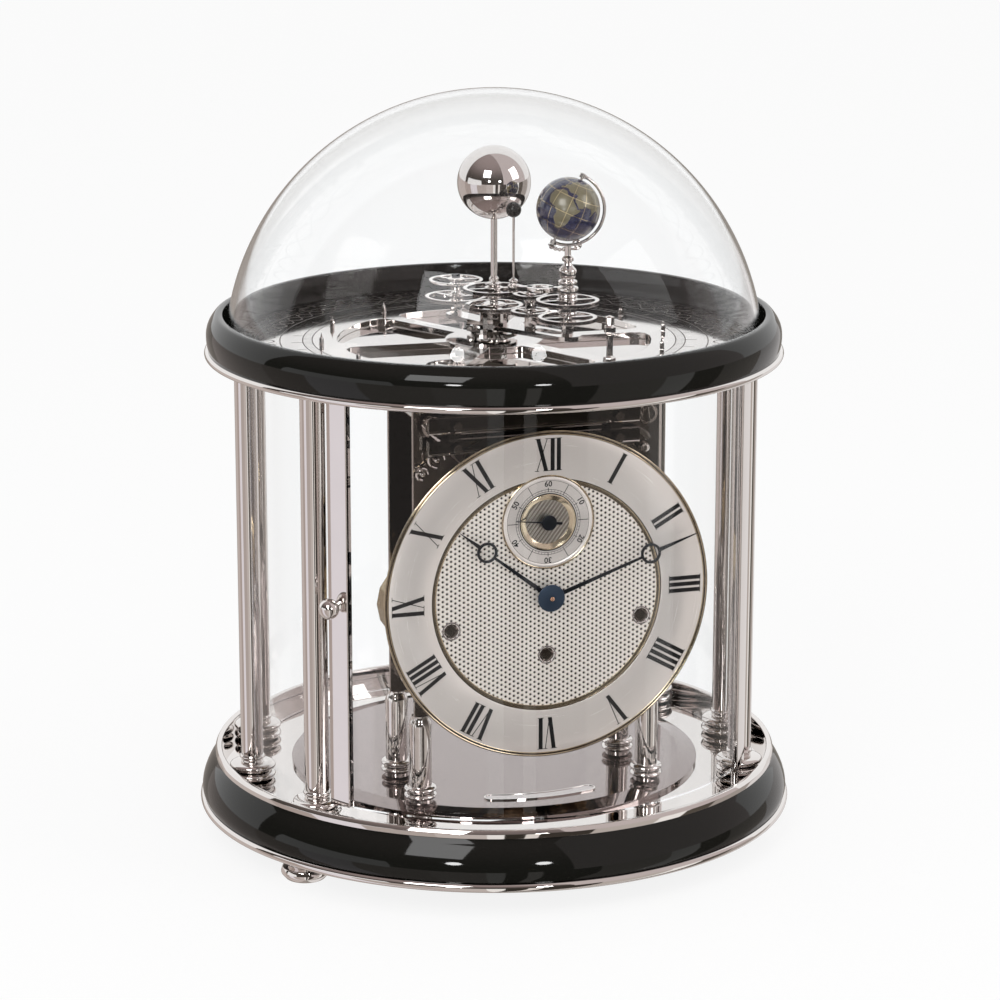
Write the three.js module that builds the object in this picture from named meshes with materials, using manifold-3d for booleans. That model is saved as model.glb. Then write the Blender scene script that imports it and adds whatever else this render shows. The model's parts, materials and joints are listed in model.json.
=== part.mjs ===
// A table clock: a round lacquered base, six columns and curved glass round an eight-day movement,
// and a glass dome over a moving model of the sun, the earth and the moon.
// Units are millimetres, +Z is up, and the dial and the door face -Y.
// The origin is on the ground, on the clock's axis.
import * as THREE from "three";
import { mergeVertices } from "three/addons/utils/BufferGeometryUtils.js";
import Module from "manifold-3d";

const wasm = await Module();
wasm.setup();

// Driving dimensions of the case
const lowerBeadRadius = 160;
const lowerBeadHeight = 5;
const plinthBulgeRadius = lowerBeadRadius - 1.4;
const plinthTopRadius = lowerBeadRadius - 8.7;
const footHeight = 14;
const footRadius = 13;
const footCircle = lowerBeadRadius - 20;
const footAngle = 61.5;
const rearFootAngle = 180 - footAngle;
const plinthTop = footHeight + 25;
const upperBeadHeight = 4.3;
const upperBeadWidth = 3.6;
const upperBeadWall = 1.6;
const basePlateTop = plinthTop - 5;
const basePlateThickness = 3;
const columnCircle = plinthTopRadius - 16.9;
const mirrorRadius = columnCircle - 24.4;
const mirrorThickness = 4;
const mirrorBevel = 10;
const labelRadius = mirrorRadius - 25;
const labelWidth = 8;
const labelHalfAngle = 18;
const labelThickness = 0.8;
const columnRadius = 6.4;
const columnCollarRadius = 12.8;
const columnCollarHeight = 9.5;
const columnCapRadius = 6.9;
const columnCapHeight = 3;
const columnAngles = [60, 90, 120, -60, -90, -120];
const [frontColumn, sideColumn, rearColumn] = columnAngles;
const glassThickness = 3;
const columnLength = 223.5;

// Driving dimensions of the door
const doorOuterRadius = columnCircle + 6.1;
const stileSpacing = 20.33;
const stileAngle =
  frontColumn - THREE.MathUtils.radToDeg(Math.asin(stileSpacing / columnCircle));
const stileWidth = 12;
const stileThickness = 5;
const doorBottomClearance = 1.2;
const doorTopClearance = 0.8;
const knobRadius = 5;
const knobHeight = basePlateTop + 117;
const knobStem = 7;
const hingePinRadius = 2;
const hingeInset = 2;

// Driving dimensions of the top
const ceilingRadius = columnCircle + 18.8;
const ceilingThickness = 4;
const ringInnerRadius = columnCircle + 8.4;
const ringOuterRadius = ringInnerRadius + 9;
const ringHeight = 18.5;
const orreryPlateThickness = 3.5;
const domeHeight = 131.4;
const armLength = 51;
const windowCount = 6;
const windowInner = 22;
const windowOuter = armLength + 32;
const windowBar = 9;
const pinCount = 12;
const pinCircle = windowOuter + 9;
const pinHeight = 9.5;
const setterPillarHeight = 24;

// Driving dimensions of the movement and the dial
const dialRadius = columnCircle - 47.9;
const dialClearance = 7.538;
const dialFront = Math.sqrt((columnCircle - dialClearance) ** 2 - dialRadius ** 2);
const legFrontY = 21.4 - dialFront;
const legBackY = legFrontY + 45.5;
const legRadius = 6;
const legCollarRadius = 8.5;
const legLength = 46;
const plateHalfWidth = dialRadius - 20.5;
const legX = plateHalfWidth - 4;
const plateThickness = 2.5;
const plateHeadroom = 11.5;
const dialDrop = 16.2;
const chapterInner = dialRadius - 25;
const chapterThickness = 1.2;
const dialThickness = 1.5;
const secondsOffset = dialRadius * 0.4474;
const secondsRadius = dialRadius * 0.2855;
const secondsInner = secondsRadius - 12.6;
const postX = dialRadius - 46.5;
const postLow = 38.5 - dialRadius;
const postHigh = dialRadius - 34.5;
const windingShare = 0.5896;
const windingX = dialRadius * windingShare;
const windingDrop = 15.2;
const centreWindingDrop = 32;
const windingHole = 4;
const barrelClearance = 1.12;
const barrelReach = Math.hypot(windingX, centreWindingDrop - windingDrop) - barrelClearance;
const barrelRadius = barrelReach / 2;
const barrelTeeth = 36;
const minuteHandLength = dialRadius - 3.5;
const minuteHandRing = minuteHandLength - 26;
const hourHandLength = chapterInner - 1.2;
const hourHandRing = hourHandLength - 18.1;
const secondsHandLength = secondsRadius - 6.9;
const handRing = 5.4;
const minuteHandCap = 7.1;
const minuteHandTurn = 70.2;
const hourHandTurn = 308;
const secondsHandTurn = 276.5;

// Driving dimensions of the orrery
const earthHeading = -59.06;
const tailHeading = 112.4;
const moonHeading = 154.6;
const moonOrbit = 28.2;
const sunRadius = 19.4;
const earthRadius = 16.4;
const earthTilt = 23.5;
const earthLean = -17.2;
const moonRadius = 4;
const wheelStep = 9;
const wheelThickness = 2;
const fixedTeeth = 24;
const parallelIdlerTeeth = 16;
const tailTeeth = 26;
const monthTeeth = 36;
const monthIdlerTeeth = 20;
const yearTeeth = 30;
const yearPinionTeeth = 10;
const yearPinionReach = 16;

// Clearances and common details
const runningGap = 0.3;
const seatGap = 0.3;
const roundSides = 36;
const postSides = 10;
const toothAddendum = 0.55;
const toothDedendum = 0.85;

// Sizes that follow from the driving dimensions
const plinthBottom = footHeight;
const plateFloor = basePlateTop - basePlateThickness;
const upperBeadTop = plinthTop + upperBeadHeight;
const kerbRadius = plinthTopRadius - upperBeadWidth;
const mirrorTop = basePlateTop + mirrorThickness;
const ceilingBottom = basePlateTop + columnLength;
const ceilingTop = ceilingBottom + ceilingThickness;
const lowerWheelLevel = ceilingTop + 19.5;
const upperWheelLevel = lowerWheelLevel + wheelStep;
const earthHeight = upperWheelLevel + 49;
const sunHeight = earthHeight + 8.7;
const moonHeight = earthHeight - 1;
const orreryPlateRadius = ringInnerRadius - seatGap;
const orreryFloor = ceilingTop + orreryPlateThickness;
const paneOuterRadius = columnCircle + glassThickness / 2;
const paneInnerRadius = columnCircle - glassThickness / 2;
const frontPlateBack = legFrontY - plateThickness / 2 + 0.15;
const frontPlateFront = frontPlateBack - plateThickness;
const backPlateBack = legBackY;
const backPlateFront = backPlateBack - plateThickness;
const legTop = mirrorTop + legLength;
const plateTop = ceilingBottom - plateHeadroom;
const dialHeight = (legTop + plateTop) / 2 - dialDrop;
const secondsHeight = dialHeight + secondsOffset;
const chapterBack = dialFront - chapterThickness;
const dialBack = chapterBack - dialThickness;

// Materials
const finish = (color, roughness, metalness) =>
  new THREE.MeshStandardMaterial({ color, roughness, metalness });
const nickel = finish(0xc9c2bc, 0.12, 1);
const lacquer = finish(0x1c1d19, 0.1, 0);
const mirror = finish(0xb4a9a6, 0.08, 1);
const glass = finish(0xe9f1f3, 0.05, 0);
glass.transparent = true;
glass.opacity = 0.3;
const silver = finish(0xc4bcba, 0.35, 0.9);
const gilt = finish(0xcdbb8c, 0.3, 1);
const blued = finish(0x232a3a, 0.3, 0.9);
const brass = finish(0xb9a47c, 0.3, 1);
const globePaint = finish(0x262a4a, 0.3, 0);
const moonPaint = finish(0x2a2b29, 0.3, 0.2);

const clock = new THREE.Group();

const radians = (degrees) => (degrees * Math.PI) / 180;
// A point at a radius and an angle from the front, positive to the right as the clock is faced.
const fromFront = (radius, angle) =>
  new THREE.Vector2(radius * Math.sin(radians(angle)), -radius * Math.cos(radians(angle)));
// A point at a radius and a heading, counted from +X towards +Y.
const polar = (radius, heading) =>
  new THREE.Vector2(radius * Math.cos(heading), radius * Math.sin(heading));

// Closed geometry with shared corners, no empty triangles and its faces pointing out.
function tidy(geometry) {
  const bare = new THREE.BufferGeometry();
  const whole = geometry.index ? geometry.toNonIndexed() : geometry;
  bare.setAttribute("position", whole.getAttribute("position").clone());
  const merged = mergeVertices(bare, 1e-4);
  const position = merged.getAttribute("position");
  const corners = [];
  let volume = 0;
  const a = new THREE.Vector3();
  const b = new THREE.Vector3();
  const c = new THREE.Vector3();
  for (let i = 0; i < merged.index.count; i += 3) {
    const trio = [0, 1, 2].map((k) => merged.index.getX(i + k));
    if (new Set(trio).size < 3) continue;
    corners.push(...trio);
    a.fromBufferAttribute(position, trio[0]);
    b.fromBufferAttribute(position, trio[1]);
    c.fromBufferAttribute(position, trio[2]);
    volume += a.dot(b.cross(c)) / 6;
  }
  if (volume < 0) corners.reverse();
  merged.setIndex(corners);
  return merged;
}

function toSolid(geometry) {
  const closed = tidy(geometry);
  return new wasm.Manifold(
    new wasm.Mesh({
      numProp: 3,
      vertProperties: closed.getAttribute("position").array,
      triVerts: new Uint32Array(closed.index.array),
    }),
  );
}

function toGeometry(solid) {
  const mesh = solid.getMesh();
  const geometry = new THREE.BufferGeometry();
  geometry.setAttribute("position", new THREE.BufferAttribute(mesh.vertProperties, 3));
  geometry.setIndex(new THREE.BufferAttribute(mesh.triVerts, 1));
  return geometry;
}

// Joins geometries into one solid, then cuts others out of it.
function shaped(joined, removed = []) {
  let solid = toSolid(joined[0]);
  for (const extra of joined.slice(1)) solid = solid.add(toSolid(extra));
  for (const tool of removed) solid = solid.subtract(toSolid(tool));
  return toGeometry(solid);
}

// A solid of revolution about Z from [radius, height] pairs that end on the axis or close.
function turned(profile, sides = roundSides) {
  const points = profile.map(([radius, height]) => new THREE.Vector2(radius, height));
  return tidy(new THREE.LatheGeometry(points, sides).rotateX(Math.PI / 2));
}

const rod = (radius, low, high, sides = postSides) =>
  turned([[0, low], [radius, low], [radius, high], [0, high]], sides);

const tube = (inner, outer, low, high, sides = postSides) =>
  turned([[inner, low], [outer, low], [outer, high], [inner, high], [inner, low]], sides);

const prism = (shape, low, high, curveSegments = 6) =>
  new THREE.ExtrudeGeometry(shape, {
    depth: high - low,
    bevelEnabled: false,
    curveSegments,
  }).translate(0, 0, low);

const block = (x0, x1, y0, y1, z0, z1) =>
  new THREE.BoxGeometry(x1 - x0, y1 - y0, z1 - z0).translate(
    (x0 + x1) / 2,
    (y0 + y1) / 2,
    (z0 + z1) / 2,
  );

const at = (geometry, x, y, z = 0) => geometry.translate(x, y, z);

// Half-round points from one height to another, bulging out from a radius.
function bulge(radius, depth, low, high, steps) {
  const points = [];
  for (let i = 0; i <= steps; i += 1) {
    const turn = (Math.PI * i) / steps;
    points.push([
      radius + depth * Math.sin(turn),
      (low + high) / 2 - ((high - low) / 2) * Math.cos(turn),
    ]);
  }
  return points;
}

function addPart(name, geometry, material, x = 0, y = 0, z = 0, parent = clock) {
  const mesh = new THREE.Mesh(geometry, material);
  mesh.name = name;
  mesh.position.set(x, y, z);
  parent.add(mesh);
  return mesh;
}

// Base
function plinthGeometry() {
  const ledge = plinthBottom + lowerBeadHeight - 1;
  const waist = lowerBeadRadius - 5.4;
  return turned([
    [0, plinthBottom],
    [waist, plinthBottom],
    [waist, ledge],
    [plinthBulgeRadius - 0.6, ledge],
    [plinthBulgeRadius, ledge + 4],
    [plinthBulgeRadius - 1, ledge + 9],
    [plinthBulgeRadius - 3.2, ledge + 14.5],
    [plinthTopRadius, plinthTop],
    [kerbRadius + upperBeadWall, plinthTop],
    [kerbRadius + upperBeadWall, plateFloor],
    [0, plateFloor],
  ]);
}

function lowerBeadGeometry() {
  const low = plinthBottom - 1;
  const high = low + lowerBeadHeight;
  const seat = lowerBeadRadius - 5.4 + seatGap;
  const edge = bulge(lowerBeadRadius - 2.2, 2.2, low, high - 0.01, 3);
  const lip = high - seatGap;
  return turned([
    [seat, low],
    ...edge.map(([radius, height]) => [radius, Math.min(height, lip)]),
    [seat, lip],
    [seat, low],
  ]);
}

function upperBeadGeometry() {
  const inner = kerbRadius;
  return turned([
    [inner, basePlateTop],
    [inner + upperBeadWall - seatGap, basePlateTop],
    [inner + upperBeadWall - seatGap, plinthTop],
    [plinthTopRadius, plinthTop],
    [plinthTopRadius, plinthTop + 2],
    [plinthTopRadius - 1.4, upperBeadTop],
    [inner + 0.8, upperBeadTop],
    [inner, upperBeadTop - 1],
    [inner, basePlateTop],
  ]);
}

function footGeometry() {
  return turned(
    [
      [0, 0],
      [footRadius - 2.5, 0],
      [footRadius, 3],
      [footRadius - 0.6, 6],
      [footRadius - 4, 7.6],
      [footRadius - 4, 9],
      [footRadius - 1.5, 10.4],
      [footRadius - 1.5, footHeight],
      [0, footHeight],
    ],
    12,
  );
}

const doorMiddleRadius = doorOuterRadius - stileThickness / 2;
// The hinge axis, set in from the middle of the right stile to pass the column's foot.
const hingeSpot = fromFront(doorMiddleRadius, stileAngle).add(
  polar(hingeInset, radians(stileAngle + 180)),
);
const doorBottom = upperBeadTop + doorBottomClearance;
const doorTop = ceilingBottom - doorTopClearance;
const pinReach = 2;

function basePlateGeometry() {
  const socket = rod(hingePinRadius + runningGap, basePlateTop - pinReach, basePlateTop + 1);
  return shaped(
    [rod(kerbRadius + upperBeadWall - seatGap, plateFloor, basePlateTop, roundSides)],
    [at(socket, hingeSpot.x, hingeSpot.y)],
  );
}

addPart("base_plinth", plinthGeometry(), lacquer);
addPart("plinth_lower_bead", lowerBeadGeometry(), nickel);
addPart("plinth_upper_bead", upperBeadGeometry(), nickel);
addPart("base_plate", basePlateGeometry(), nickel);
addPart(
  "mirror_disc",
  turned([
    [0, basePlateTop],
    [mirrorRadius, basePlateTop],
    [mirrorRadius, basePlateTop + mirrorThickness / 2],
    [mirrorRadius - mirrorBevel, mirrorTop],
    [0, mirrorTop],
  ]),
  mirror,
);
[-footAngle, footAngle, rearFootAngle, -rearFootAngle].forEach((angle, i) => {
  const spot = fromFront(footCircle, angle);
  addPart(`foot_${i + 1}`, footGeometry(), nickel, spot.x, spot.y);
});

// A curved label plate with round ends, left bare, at the front of the mirror disc.
function labelPlate(radius, width, halfAngle, thickness) {
  const shape = new THREE.Shape();
  const turn = radians(halfAngle);
  const front = -Math.PI / 2;
  const endA = polar(radius, front + turn);
  const endB = polar(radius, front - turn);
  shape.absarc(0, 0, radius + width / 2, front - turn, front + turn, false);
  shape.absarc(endA.x, endA.y, width / 2, front + turn, front + turn + Math.PI, false);
  shape.absarc(0, 0, radius - width / 2, front + turn, front - turn, true);
  shape.absarc(endB.x, endB.y, width / 2, front - turn + Math.PI, front - turn + 2 * Math.PI, false);
  return tidy(prism(shape, 0, thickness, 4));
}
addPart(
  "name_plate",
  labelPlate(labelRadius, labelWidth, labelHalfAngle, labelThickness),
  nickel,
  0,
  0,
  mirrorTop,
);

// Columns, each with two stacked rings at its foot and a plain cap
function columnGeometry() {
  const bead = columnCollarHeight / 2;
  const throat = columnRadius + 2.6;
  const capLow = columnLength - columnCapHeight;
  return turned(
    [
      [0, 0],
      ...bulge(throat, columnCollarRadius - throat, 0.2, bead, 3),
      ...bulge(throat, columnCollarRadius - throat, bead + 0.3, 2 * bead, 3),
      [columnRadius, 2 * bead + 0.4],
      [columnRadius, capLow],
      [columnCapRadius, capLow],
      [columnCapRadius, columnLength],
      [0, columnLength],
    ],
    postSides,
  );
}
const columnSpots = columnAngles.map((angle) => fromFront(columnCircle, angle));
const columnNames = [
  "column_front_right",
  "column_right",
  "column_rear_right",
  "column_front_left",
  "column_left",
  "column_rear_left",
];
columnSpots.forEach((spot, i) => {
  addPart(columnNames[i], columnGeometry(), nickel, spot.x, spot.y, basePlateTop);
});

// A curved sheet between two angles from the front.
function curvedSheet(inner, outer, from, to, low, high, steps) {
  const shape = new THREE.Shape();
  const start = radians(from - 90);
  const end = radians(to - 90);
  shape.absarc(0, 0, outer, start, end, false);
  shape.absarc(0, 0, inner, end, start, true);
  return tidy(prism(shape, low, high, steps));
}

// The angle that a post on a circle takes up on each side, with the seat gap.
const halfAngle = (radius, circle) => THREE.MathUtils.radToDeg(Math.asin((radius + seatGap) / circle));

// A fixed pane between two columns, notched round their collars and caps.
function paneGeometry(from, to, steps) {
  const reach = halfAngle(columnRadius, columnCircle) + 0.05;
  const sheet = curvedSheet(
    paneInnerRadius,
    paneOuterRadius,
    from + reach,
    to - reach,
    basePlateTop,
    ceilingBottom,
    steps,
  );
  const tools = [];
  for (const angle of [from, to]) {
    const spot = fromFront(columnCircle, angle);
    const collar = rod(columnCollarRadius + seatGap, -1, columnCollarHeight + seatGap + 0.4, 16);
    tools.push(at(collar, spot.x, spot.y, basePlateTop));
    const cap = rod(columnCapRadius + seatGap, -columnCapHeight - seatGap, 1, 16);
    tools.push(at(cap, spot.x, spot.y, ceilingBottom));
  }
  return shaped([sheet], tools);
}
addPart("pane_front_right", paneGeometry(frontColumn, sideColumn, 3), glass);
addPart("pane_rear_right", paneGeometry(sideColumn, rearColumn, 3), glass);
addPart("pane_rear", paneGeometry(rearColumn, 360 - rearColumn, 9), glass);
addPart("pane_rear_left", paneGeometry(-rearColumn, -sideColumn, 3), glass);
addPart("pane_front_left", paneGeometry(-sideColumn, -frontColumn, 3), glass);

// Door: a curved pane between two flat upright stiles, hinged on two pins at the right
function stileGeometry(side, pins) {
  const middle = fromFront(doorMiddleRadius, side * stileAngle);
  const bar = block(
    -stileWidth / 2,
    stileWidth / 2,
    -stileThickness / 2,
    stileThickness / 2,
    doorBottom,
    doorTop,
  ).rotateZ(radians(side * stileAngle));
  const joined = [at(bar, middle.x, middle.y)];
  if (pins) {
    const low = basePlateTop - pinReach + seatGap;
    const high = ceilingBottom + pinReach - seatGap;
    joined.push(at(rod(hingePinRadius, low, doorBottom + 1), hingeSpot.x, hingeSpot.y));
    joined.push(at(rod(hingePinRadius, doorTop - 1, high), hingeSpot.x, hingeSpot.y));
  }
  return shaped(joined);
}
const stileHalfAngle = halfAngle(stileWidth / 2, doorMiddleRadius - glassThickness / 2) + 0.02;
const doorGlassAngle = stileAngle - stileHalfAngle;
addPart(
  "door_glass",
  curvedSheet(
    doorMiddleRadius - glassThickness / 2,
    doorMiddleRadius + glassThickness / 2,
    -doorGlassAngle,
    doorGlassAngle,
    doorBottom,
    doorTop,
    9,
  ),
  glass,
);
addPart("door_stile_right", stileGeometry(1, true), nickel);
addPart("door_stile_left", stileGeometry(-1, false), nickel);
const knobSpot = fromFront(doorOuterRadius, -stileAngle);
const knob = shaped([
  turned(
    [
      [0, 0],
      [2.6, 0],
      [2.6, 0.8],
      [1.6, 1.6],
      [1.6, knobStem - 3.5],
      ...bulge(1.6, knobRadius - 1.6, knobStem - 3.5, knobStem + 4.9, 5),
      [0, knobStem + 5],
    ],
    12,
  ).rotateX(Math.PI / 2),
]);
const knobMesh = addPart("door_knob", knob, nickel, knobSpot.x, knobSpot.y, knobHeight);
knobMesh.rotation.z = radians(-stileAngle);

// Top: ceiling plate, black ring, engraved plate and glass dome
const arborRadius = 2.2;
const arborHole = arborRadius + runningGap;
const yearPinionAt = polar(yearPinionReach, radians(tailHeading));
const yearArborRadius = 1.2;

function ceilingGeometry() {
  const edge = bulge(ceilingRadius - 2, 2, ceilingBottom, ceilingTop, 3);
  const socket = rod(hingePinRadius + runningGap, ceilingBottom - 1, ceilingBottom + pinReach);
  const yearHole = rod(yearArborRadius + runningGap, ceilingBottom - 1, ceilingTop + 1, 8);
  return shaped(
    [turned([[0, ceilingBottom], ...edge, [0, ceilingTop]])],
    [
      rod(arborHole, ceilingBottom - 1, ceilingTop + 1),
      at(socket, hingeSpot.x, hingeSpot.y),
      at(yearHole, yearPinionAt.x, yearPinionAt.y),
    ],
  );
}
addPart("ceiling_plate", ceilingGeometry(), nickel);

const ringTop = ceilingTop + ringHeight;
addPart(
  "top_ring",
  turned([
    [ringInnerRadius, ceilingTop],
    [ringOuterRadius - 0.8, ceilingTop],
    [ringOuterRadius, ceilingTop + 8],
    [ringOuterRadius - 1.6, ceilingTop + 14.5],
    [ringOuterRadius - 4.4, ringTop],
    [ringInnerRadius + 1, ringTop],
    [ringInnerRadius, ringTop - 1.5],
    [ringInnerRadius, ceilingTop],
  ]),
  lacquer,
);

// One window of the engraved plate: a sector with round outer corners between straight bars.
function windowTool(heading) {
  const shape = new THREE.Shape();
  const pitch = Math.PI / windowCount;
  const corner = 9;
  const side = (radius) => pitch - Math.asin(windowBar / 2 / radius);
  const inner = windowInner + 4;
  const start = polar(inner, -side(inner));
  shape.moveTo(start.x, start.y);
  const lowCorner = polar(windowOuter - corner, -side(windowOuter - corner));
  shape.lineTo(lowCorner.x, lowCorner.y);
  const bend = corner / windowOuter;
  const lowTip = polar(windowOuter, -side(windowOuter));
  const lowArc = polar(windowOuter, -side(windowOuter) + bend);
  shape.quadraticCurveTo(lowTip.x, lowTip.y, lowArc.x, lowArc.y);
  shape.absarc(0, 0, windowOuter, -side(windowOuter) + bend, side(windowOuter) - bend, false);
  const highTip = polar(windowOuter, side(windowOuter));
  const highCorner = polar(windowOuter - corner, side(windowOuter - corner));
  shape.quadraticCurveTo(highTip.x, highTip.y, highCorner.x, highCorner.y);
  const highInner = polar(inner, side(inner));
  shape.lineTo(highInner.x, highInner.y);
  shape.absarc(0, 0, inner, side(inner), -side(inner), true);
  return prism(shape, ceilingTop - 1, orreryFloor + 1, 3).rotateZ(radians(heading));
}

function turnedPin(height) {
  return turned(
    [
      [0, -1],
      [1.3, -1],
      [1.3, height * 0.35],
      [0.6, height * 0.45],
      [0, height],
    ],
    5,
  );
}

function setterPillar(height) {
  return turned(
    [
      [0, -1],
      [3.4, -1],
      [3.4, 2],
      [1.7, 3],
      [1.7, height - 10],
      [3.2, height - 9],
      [3.2, height - 6],
      [1.8, height - 5],
      [2.6, height - 1],
      [0, height],
    ],
    6,
  );
}

function orreryPlateGeometry() {
  const joined = [rod(orreryPlateRadius, ceilingTop, orreryFloor, roundSides)];
  for (let i = 0; i < pinCount; i += 1) {
    const spot = polar(pinCircle, radians(24 + (360 / pinCount) * i));
    if (i === 9) continue;
    joined.push(at(turnedPin(pinHeight), spot.x, spot.y, orreryFloor));
  }
  const pillarSpot = polar(windowOuter + 1.5, radians(-63));
  joined.push(at(setterPillar(setterPillarHeight), pillarSpot.x, pillarSpot.y, orreryFloor));
  const removed = [rod(arborHole, ceilingTop - 1, orreryFloor + 1)];
  const yearHole = rod(yearArborRadius + runningGap, ceilingTop - 1, orreryFloor + 1, 8);
  removed.push(at(yearHole, yearPinionAt.x, yearPinionAt.y));
  for (let i = 0; i < windowCount; i += 1) removed.push(windowTool(27.5 + (360 / windowCount) * i));
  return shaped(joined, removed);
}
addPart("orrery_plate", orreryPlateGeometry(), nickel);

// The dome is a shell of a sphere whose foot stands on the engraved plate, inside the ring.
function domeGeometry() {
  const foot = orreryPlateRadius - 0.5;
  const outer = (foot * foot + domeHeight * domeHeight) / (2 * domeHeight);
  const centre = orreryFloor + domeHeight - outer;
  const steps = 6;
  const wall = (radius, sign) => {
    const low = Math.asin((orreryFloor - centre) / radius);
    const points = [];
    for (let i = 0; i <= steps; i += 1) {
      const share = sign > 0 ? i / steps : 1 - i / steps;
      const turn = low + (Math.PI / 2 - low) * share;
      const width = share === 1 ? 0 : radius * Math.cos(turn);
      points.push([width, centre + radius * Math.sin(turn)]);
    }
    return points;
  };
  const shell = [...wall(outer, 1), ...wall(outer - glassThickness, -1)];
  return turned([...shell.slice(steps + 1), ...shell.slice(0, steps + 1)]);
}
addPart("dome_glass", domeGeometry(), glass);

// Gears
// A toothed disc with pointed teeth, a bore and, if asked, windows between spokes.
function toothedDisc(options) {
  const { teeth, radius, phase, bore, thickness, spokes = 0, hub = 4, rim = 2.6 } = options;
  const module = (2 * radius) / teeth;
  const shape = new THREE.Shape();
  for (let i = 0; i < 2 * teeth; i += 1) {
    const tip = i % 2 === 0;
    const reach = radius + module * (tip ? toothAddendum : -toothDedendum);
    const corner = polar(reach, phase + (Math.PI * i) / teeth);
    if (i === 0) shape.moveTo(corner.x, corner.y);
    else shape.lineTo(corner.x, corner.y);
  }
  shape.closePath();
  const hole = new THREE.Path();
  for (let i = 0; i <= 8; i += 1) {
    const corner = polar(bore, (-Math.PI * i) / 4);
    if (i === 0) hole.moveTo(corner.x, corner.y);
    else hole.lineTo(corner.x, corner.y);
  }
  shape.holes.push(hole);
  const rootRadius = radius - module * toothDedendum;
  for (let i = 0; i < spokes; i += 1) {
    const outer = rootRadius - rim;
    const gap = Math.PI / spokes;
    const turn = (2 * Math.PI * (i + 0.5)) / spokes;
    const wide = gap - 1.1 / outer;
    const narrow = gap - 1.1 / hub;
    const opening = new THREE.Path();
    opening.absarc(0, 0, outer, turn - wide, turn + wide, false);
    opening.absarc(0, 0, hub, turn + narrow, turn - narrow, true);
    shape.holes.push(opening);
  }
  return tidy(prism(shape, 0, thickness, 2));
}

// The phase that a wheel needs to mesh with another at a heading, as seen from that other.
const meshed = (phase, teeth, otherTeeth, heading) =>
  heading + Math.PI - ((phase - heading) * teeth) / otherTeeth - Math.PI / otherTeeth;

const halfArm = armLength / 2;
const fixedRadius = (halfArm * fixedTeeth) / (fixedTeeth + parallelIdlerTeeth);
const parallelRadius = halfArm - fixedRadius;
const monthRadius = (halfArm * monthTeeth) / (monthTeeth + monthIdlerTeeth);
const monthIdlerRadius = halfArm - monthRadius;
const tailRadius = (fixedRadius * tailTeeth) / fixedTeeth;
const tailReach = fixedRadius + tailRadius;
const yearRadius = (yearPinionReach * yearTeeth) / (yearTeeth + yearPinionTeeth);
const yearPinionRadius = yearPinionReach - yearRadius;

const earthTurn = radians(earthHeading);
const tailTurn = radians(tailHeading);
const earthAt = polar(armLength, earthTurn);
const idlerAt = polar(halfArm, earthTurn);
const tailAt = polar(tailReach, tailTurn);

const parallelPhase = meshed(0, fixedTeeth, parallelIdlerTeeth, earthTurn);
const turntablePhase = meshed(parallelPhase, parallelIdlerTeeth, fixedTeeth, earthTurn);
const monthIdlerPhase = meshed(0, monthTeeth, monthIdlerTeeth, earthTurn);
const moonWheelPhase = meshed(monthIdlerPhase, monthIdlerTeeth, monthTeeth, earthTurn);
const tailPhase = meshed(0, fixedTeeth, tailTeeth, tailTurn);
const yearPinionPhase = meshed(0, yearTeeth, yearPinionTeeth, tailTurn);

// Orrery: heights of the parts that stack on its axes
const lowerTop = lowerWheelLevel + wheelThickness;
const upperTop = upperWheelLevel + wheelThickness;
const pipeRadius = 5;
const flangeTop = orreryFloor + 1.2;
const yearWheelLow = flangeTop + 0.4;
const armLow = orreryFloor + 6;
const armTop = armLow + 2.5;
const studRadius = 1.4;
const shoulderTop = lowerWheelLevel - 1 - runningGap;

// The wheel that never turns, on its pipe and flange.
addPart(
  "fixed_wheel",
  shaped([
    tube(arborHole, 9, orreryFloor, flangeTop, 16),
    tube(arborHole, pipeRadius, orreryFloor, lowerTop),
    at(
      toothedDisc({
        teeth: fixedTeeth,
        radius: fixedRadius,
        phase: 0,
        bore: pipeRadius - 0.6,
        thickness: wheelThickness,
        spokes: 4,
        hub: 7,
      }),
      0,
      0,
      lowerWheelLevel,
    ),
  ]),
  nickel,
);

// The arbor that turns once in a month and carries the sun.
const sunPostRadius = 1.6;
const sunSocketDepth = 5;
addPart(
  "month_arbor",
  shaped([
    turned([
      [0, ceilingBottom - 12],
      [arborRadius, ceilingBottom - 12],
      [arborRadius, upperWheelLevel - 4],
      [3.8, upperWheelLevel - 3.4],
      [3.8, upperTop + 2.4],
      [2.6, upperTop + 3],
      [2.6, upperTop + 5],
      [sunPostRadius, upperTop + 6],
      [sunPostRadius, sunHeight - sunRadius + sunSocketDepth - seatGap],
      [0, sunHeight - sunRadius + sunSocketDepth - seatGap],
    ], postSides),
    rod(6, ceilingBottom - 10, ceilingBottom - 7, 16),
    at(
      toothedDisc({
        teeth: monthTeeth,
        radius: monthRadius,
        phase: 0,
        bore: 3,
        thickness: wheelThickness,
        spokes: 4,
        hub: 5,
      }),
      0,
      0,
      upperWheelLevel,
    ),
  ]),
  nickel,
);
addPart(
  "sun_globe",
  shaped(
    [new THREE.SphereGeometry(sunRadius, 18, 12).rotateX(Math.PI / 2)],
    [rod(sunPostRadius + seatGap, -sunRadius - 1, -sunRadius + sunSocketDepth, 8)],
  ),
  nickel,
  0,
  0,
  sunHeight,
);

// An arm plate with round ends between two points.
function armPlate(reach, heading, width, low, high) {
  const shape = new THREE.Shape();
  shape.absarc(reach, 0, width / 2, -Math.PI / 2, Math.PI / 2, false);
  shape.absarc(0, 0, width / 2, Math.PI / 2, (3 * Math.PI) / 2, false);
  return prism(shape, low, high, 3).rotateZ(heading);
}

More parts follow.
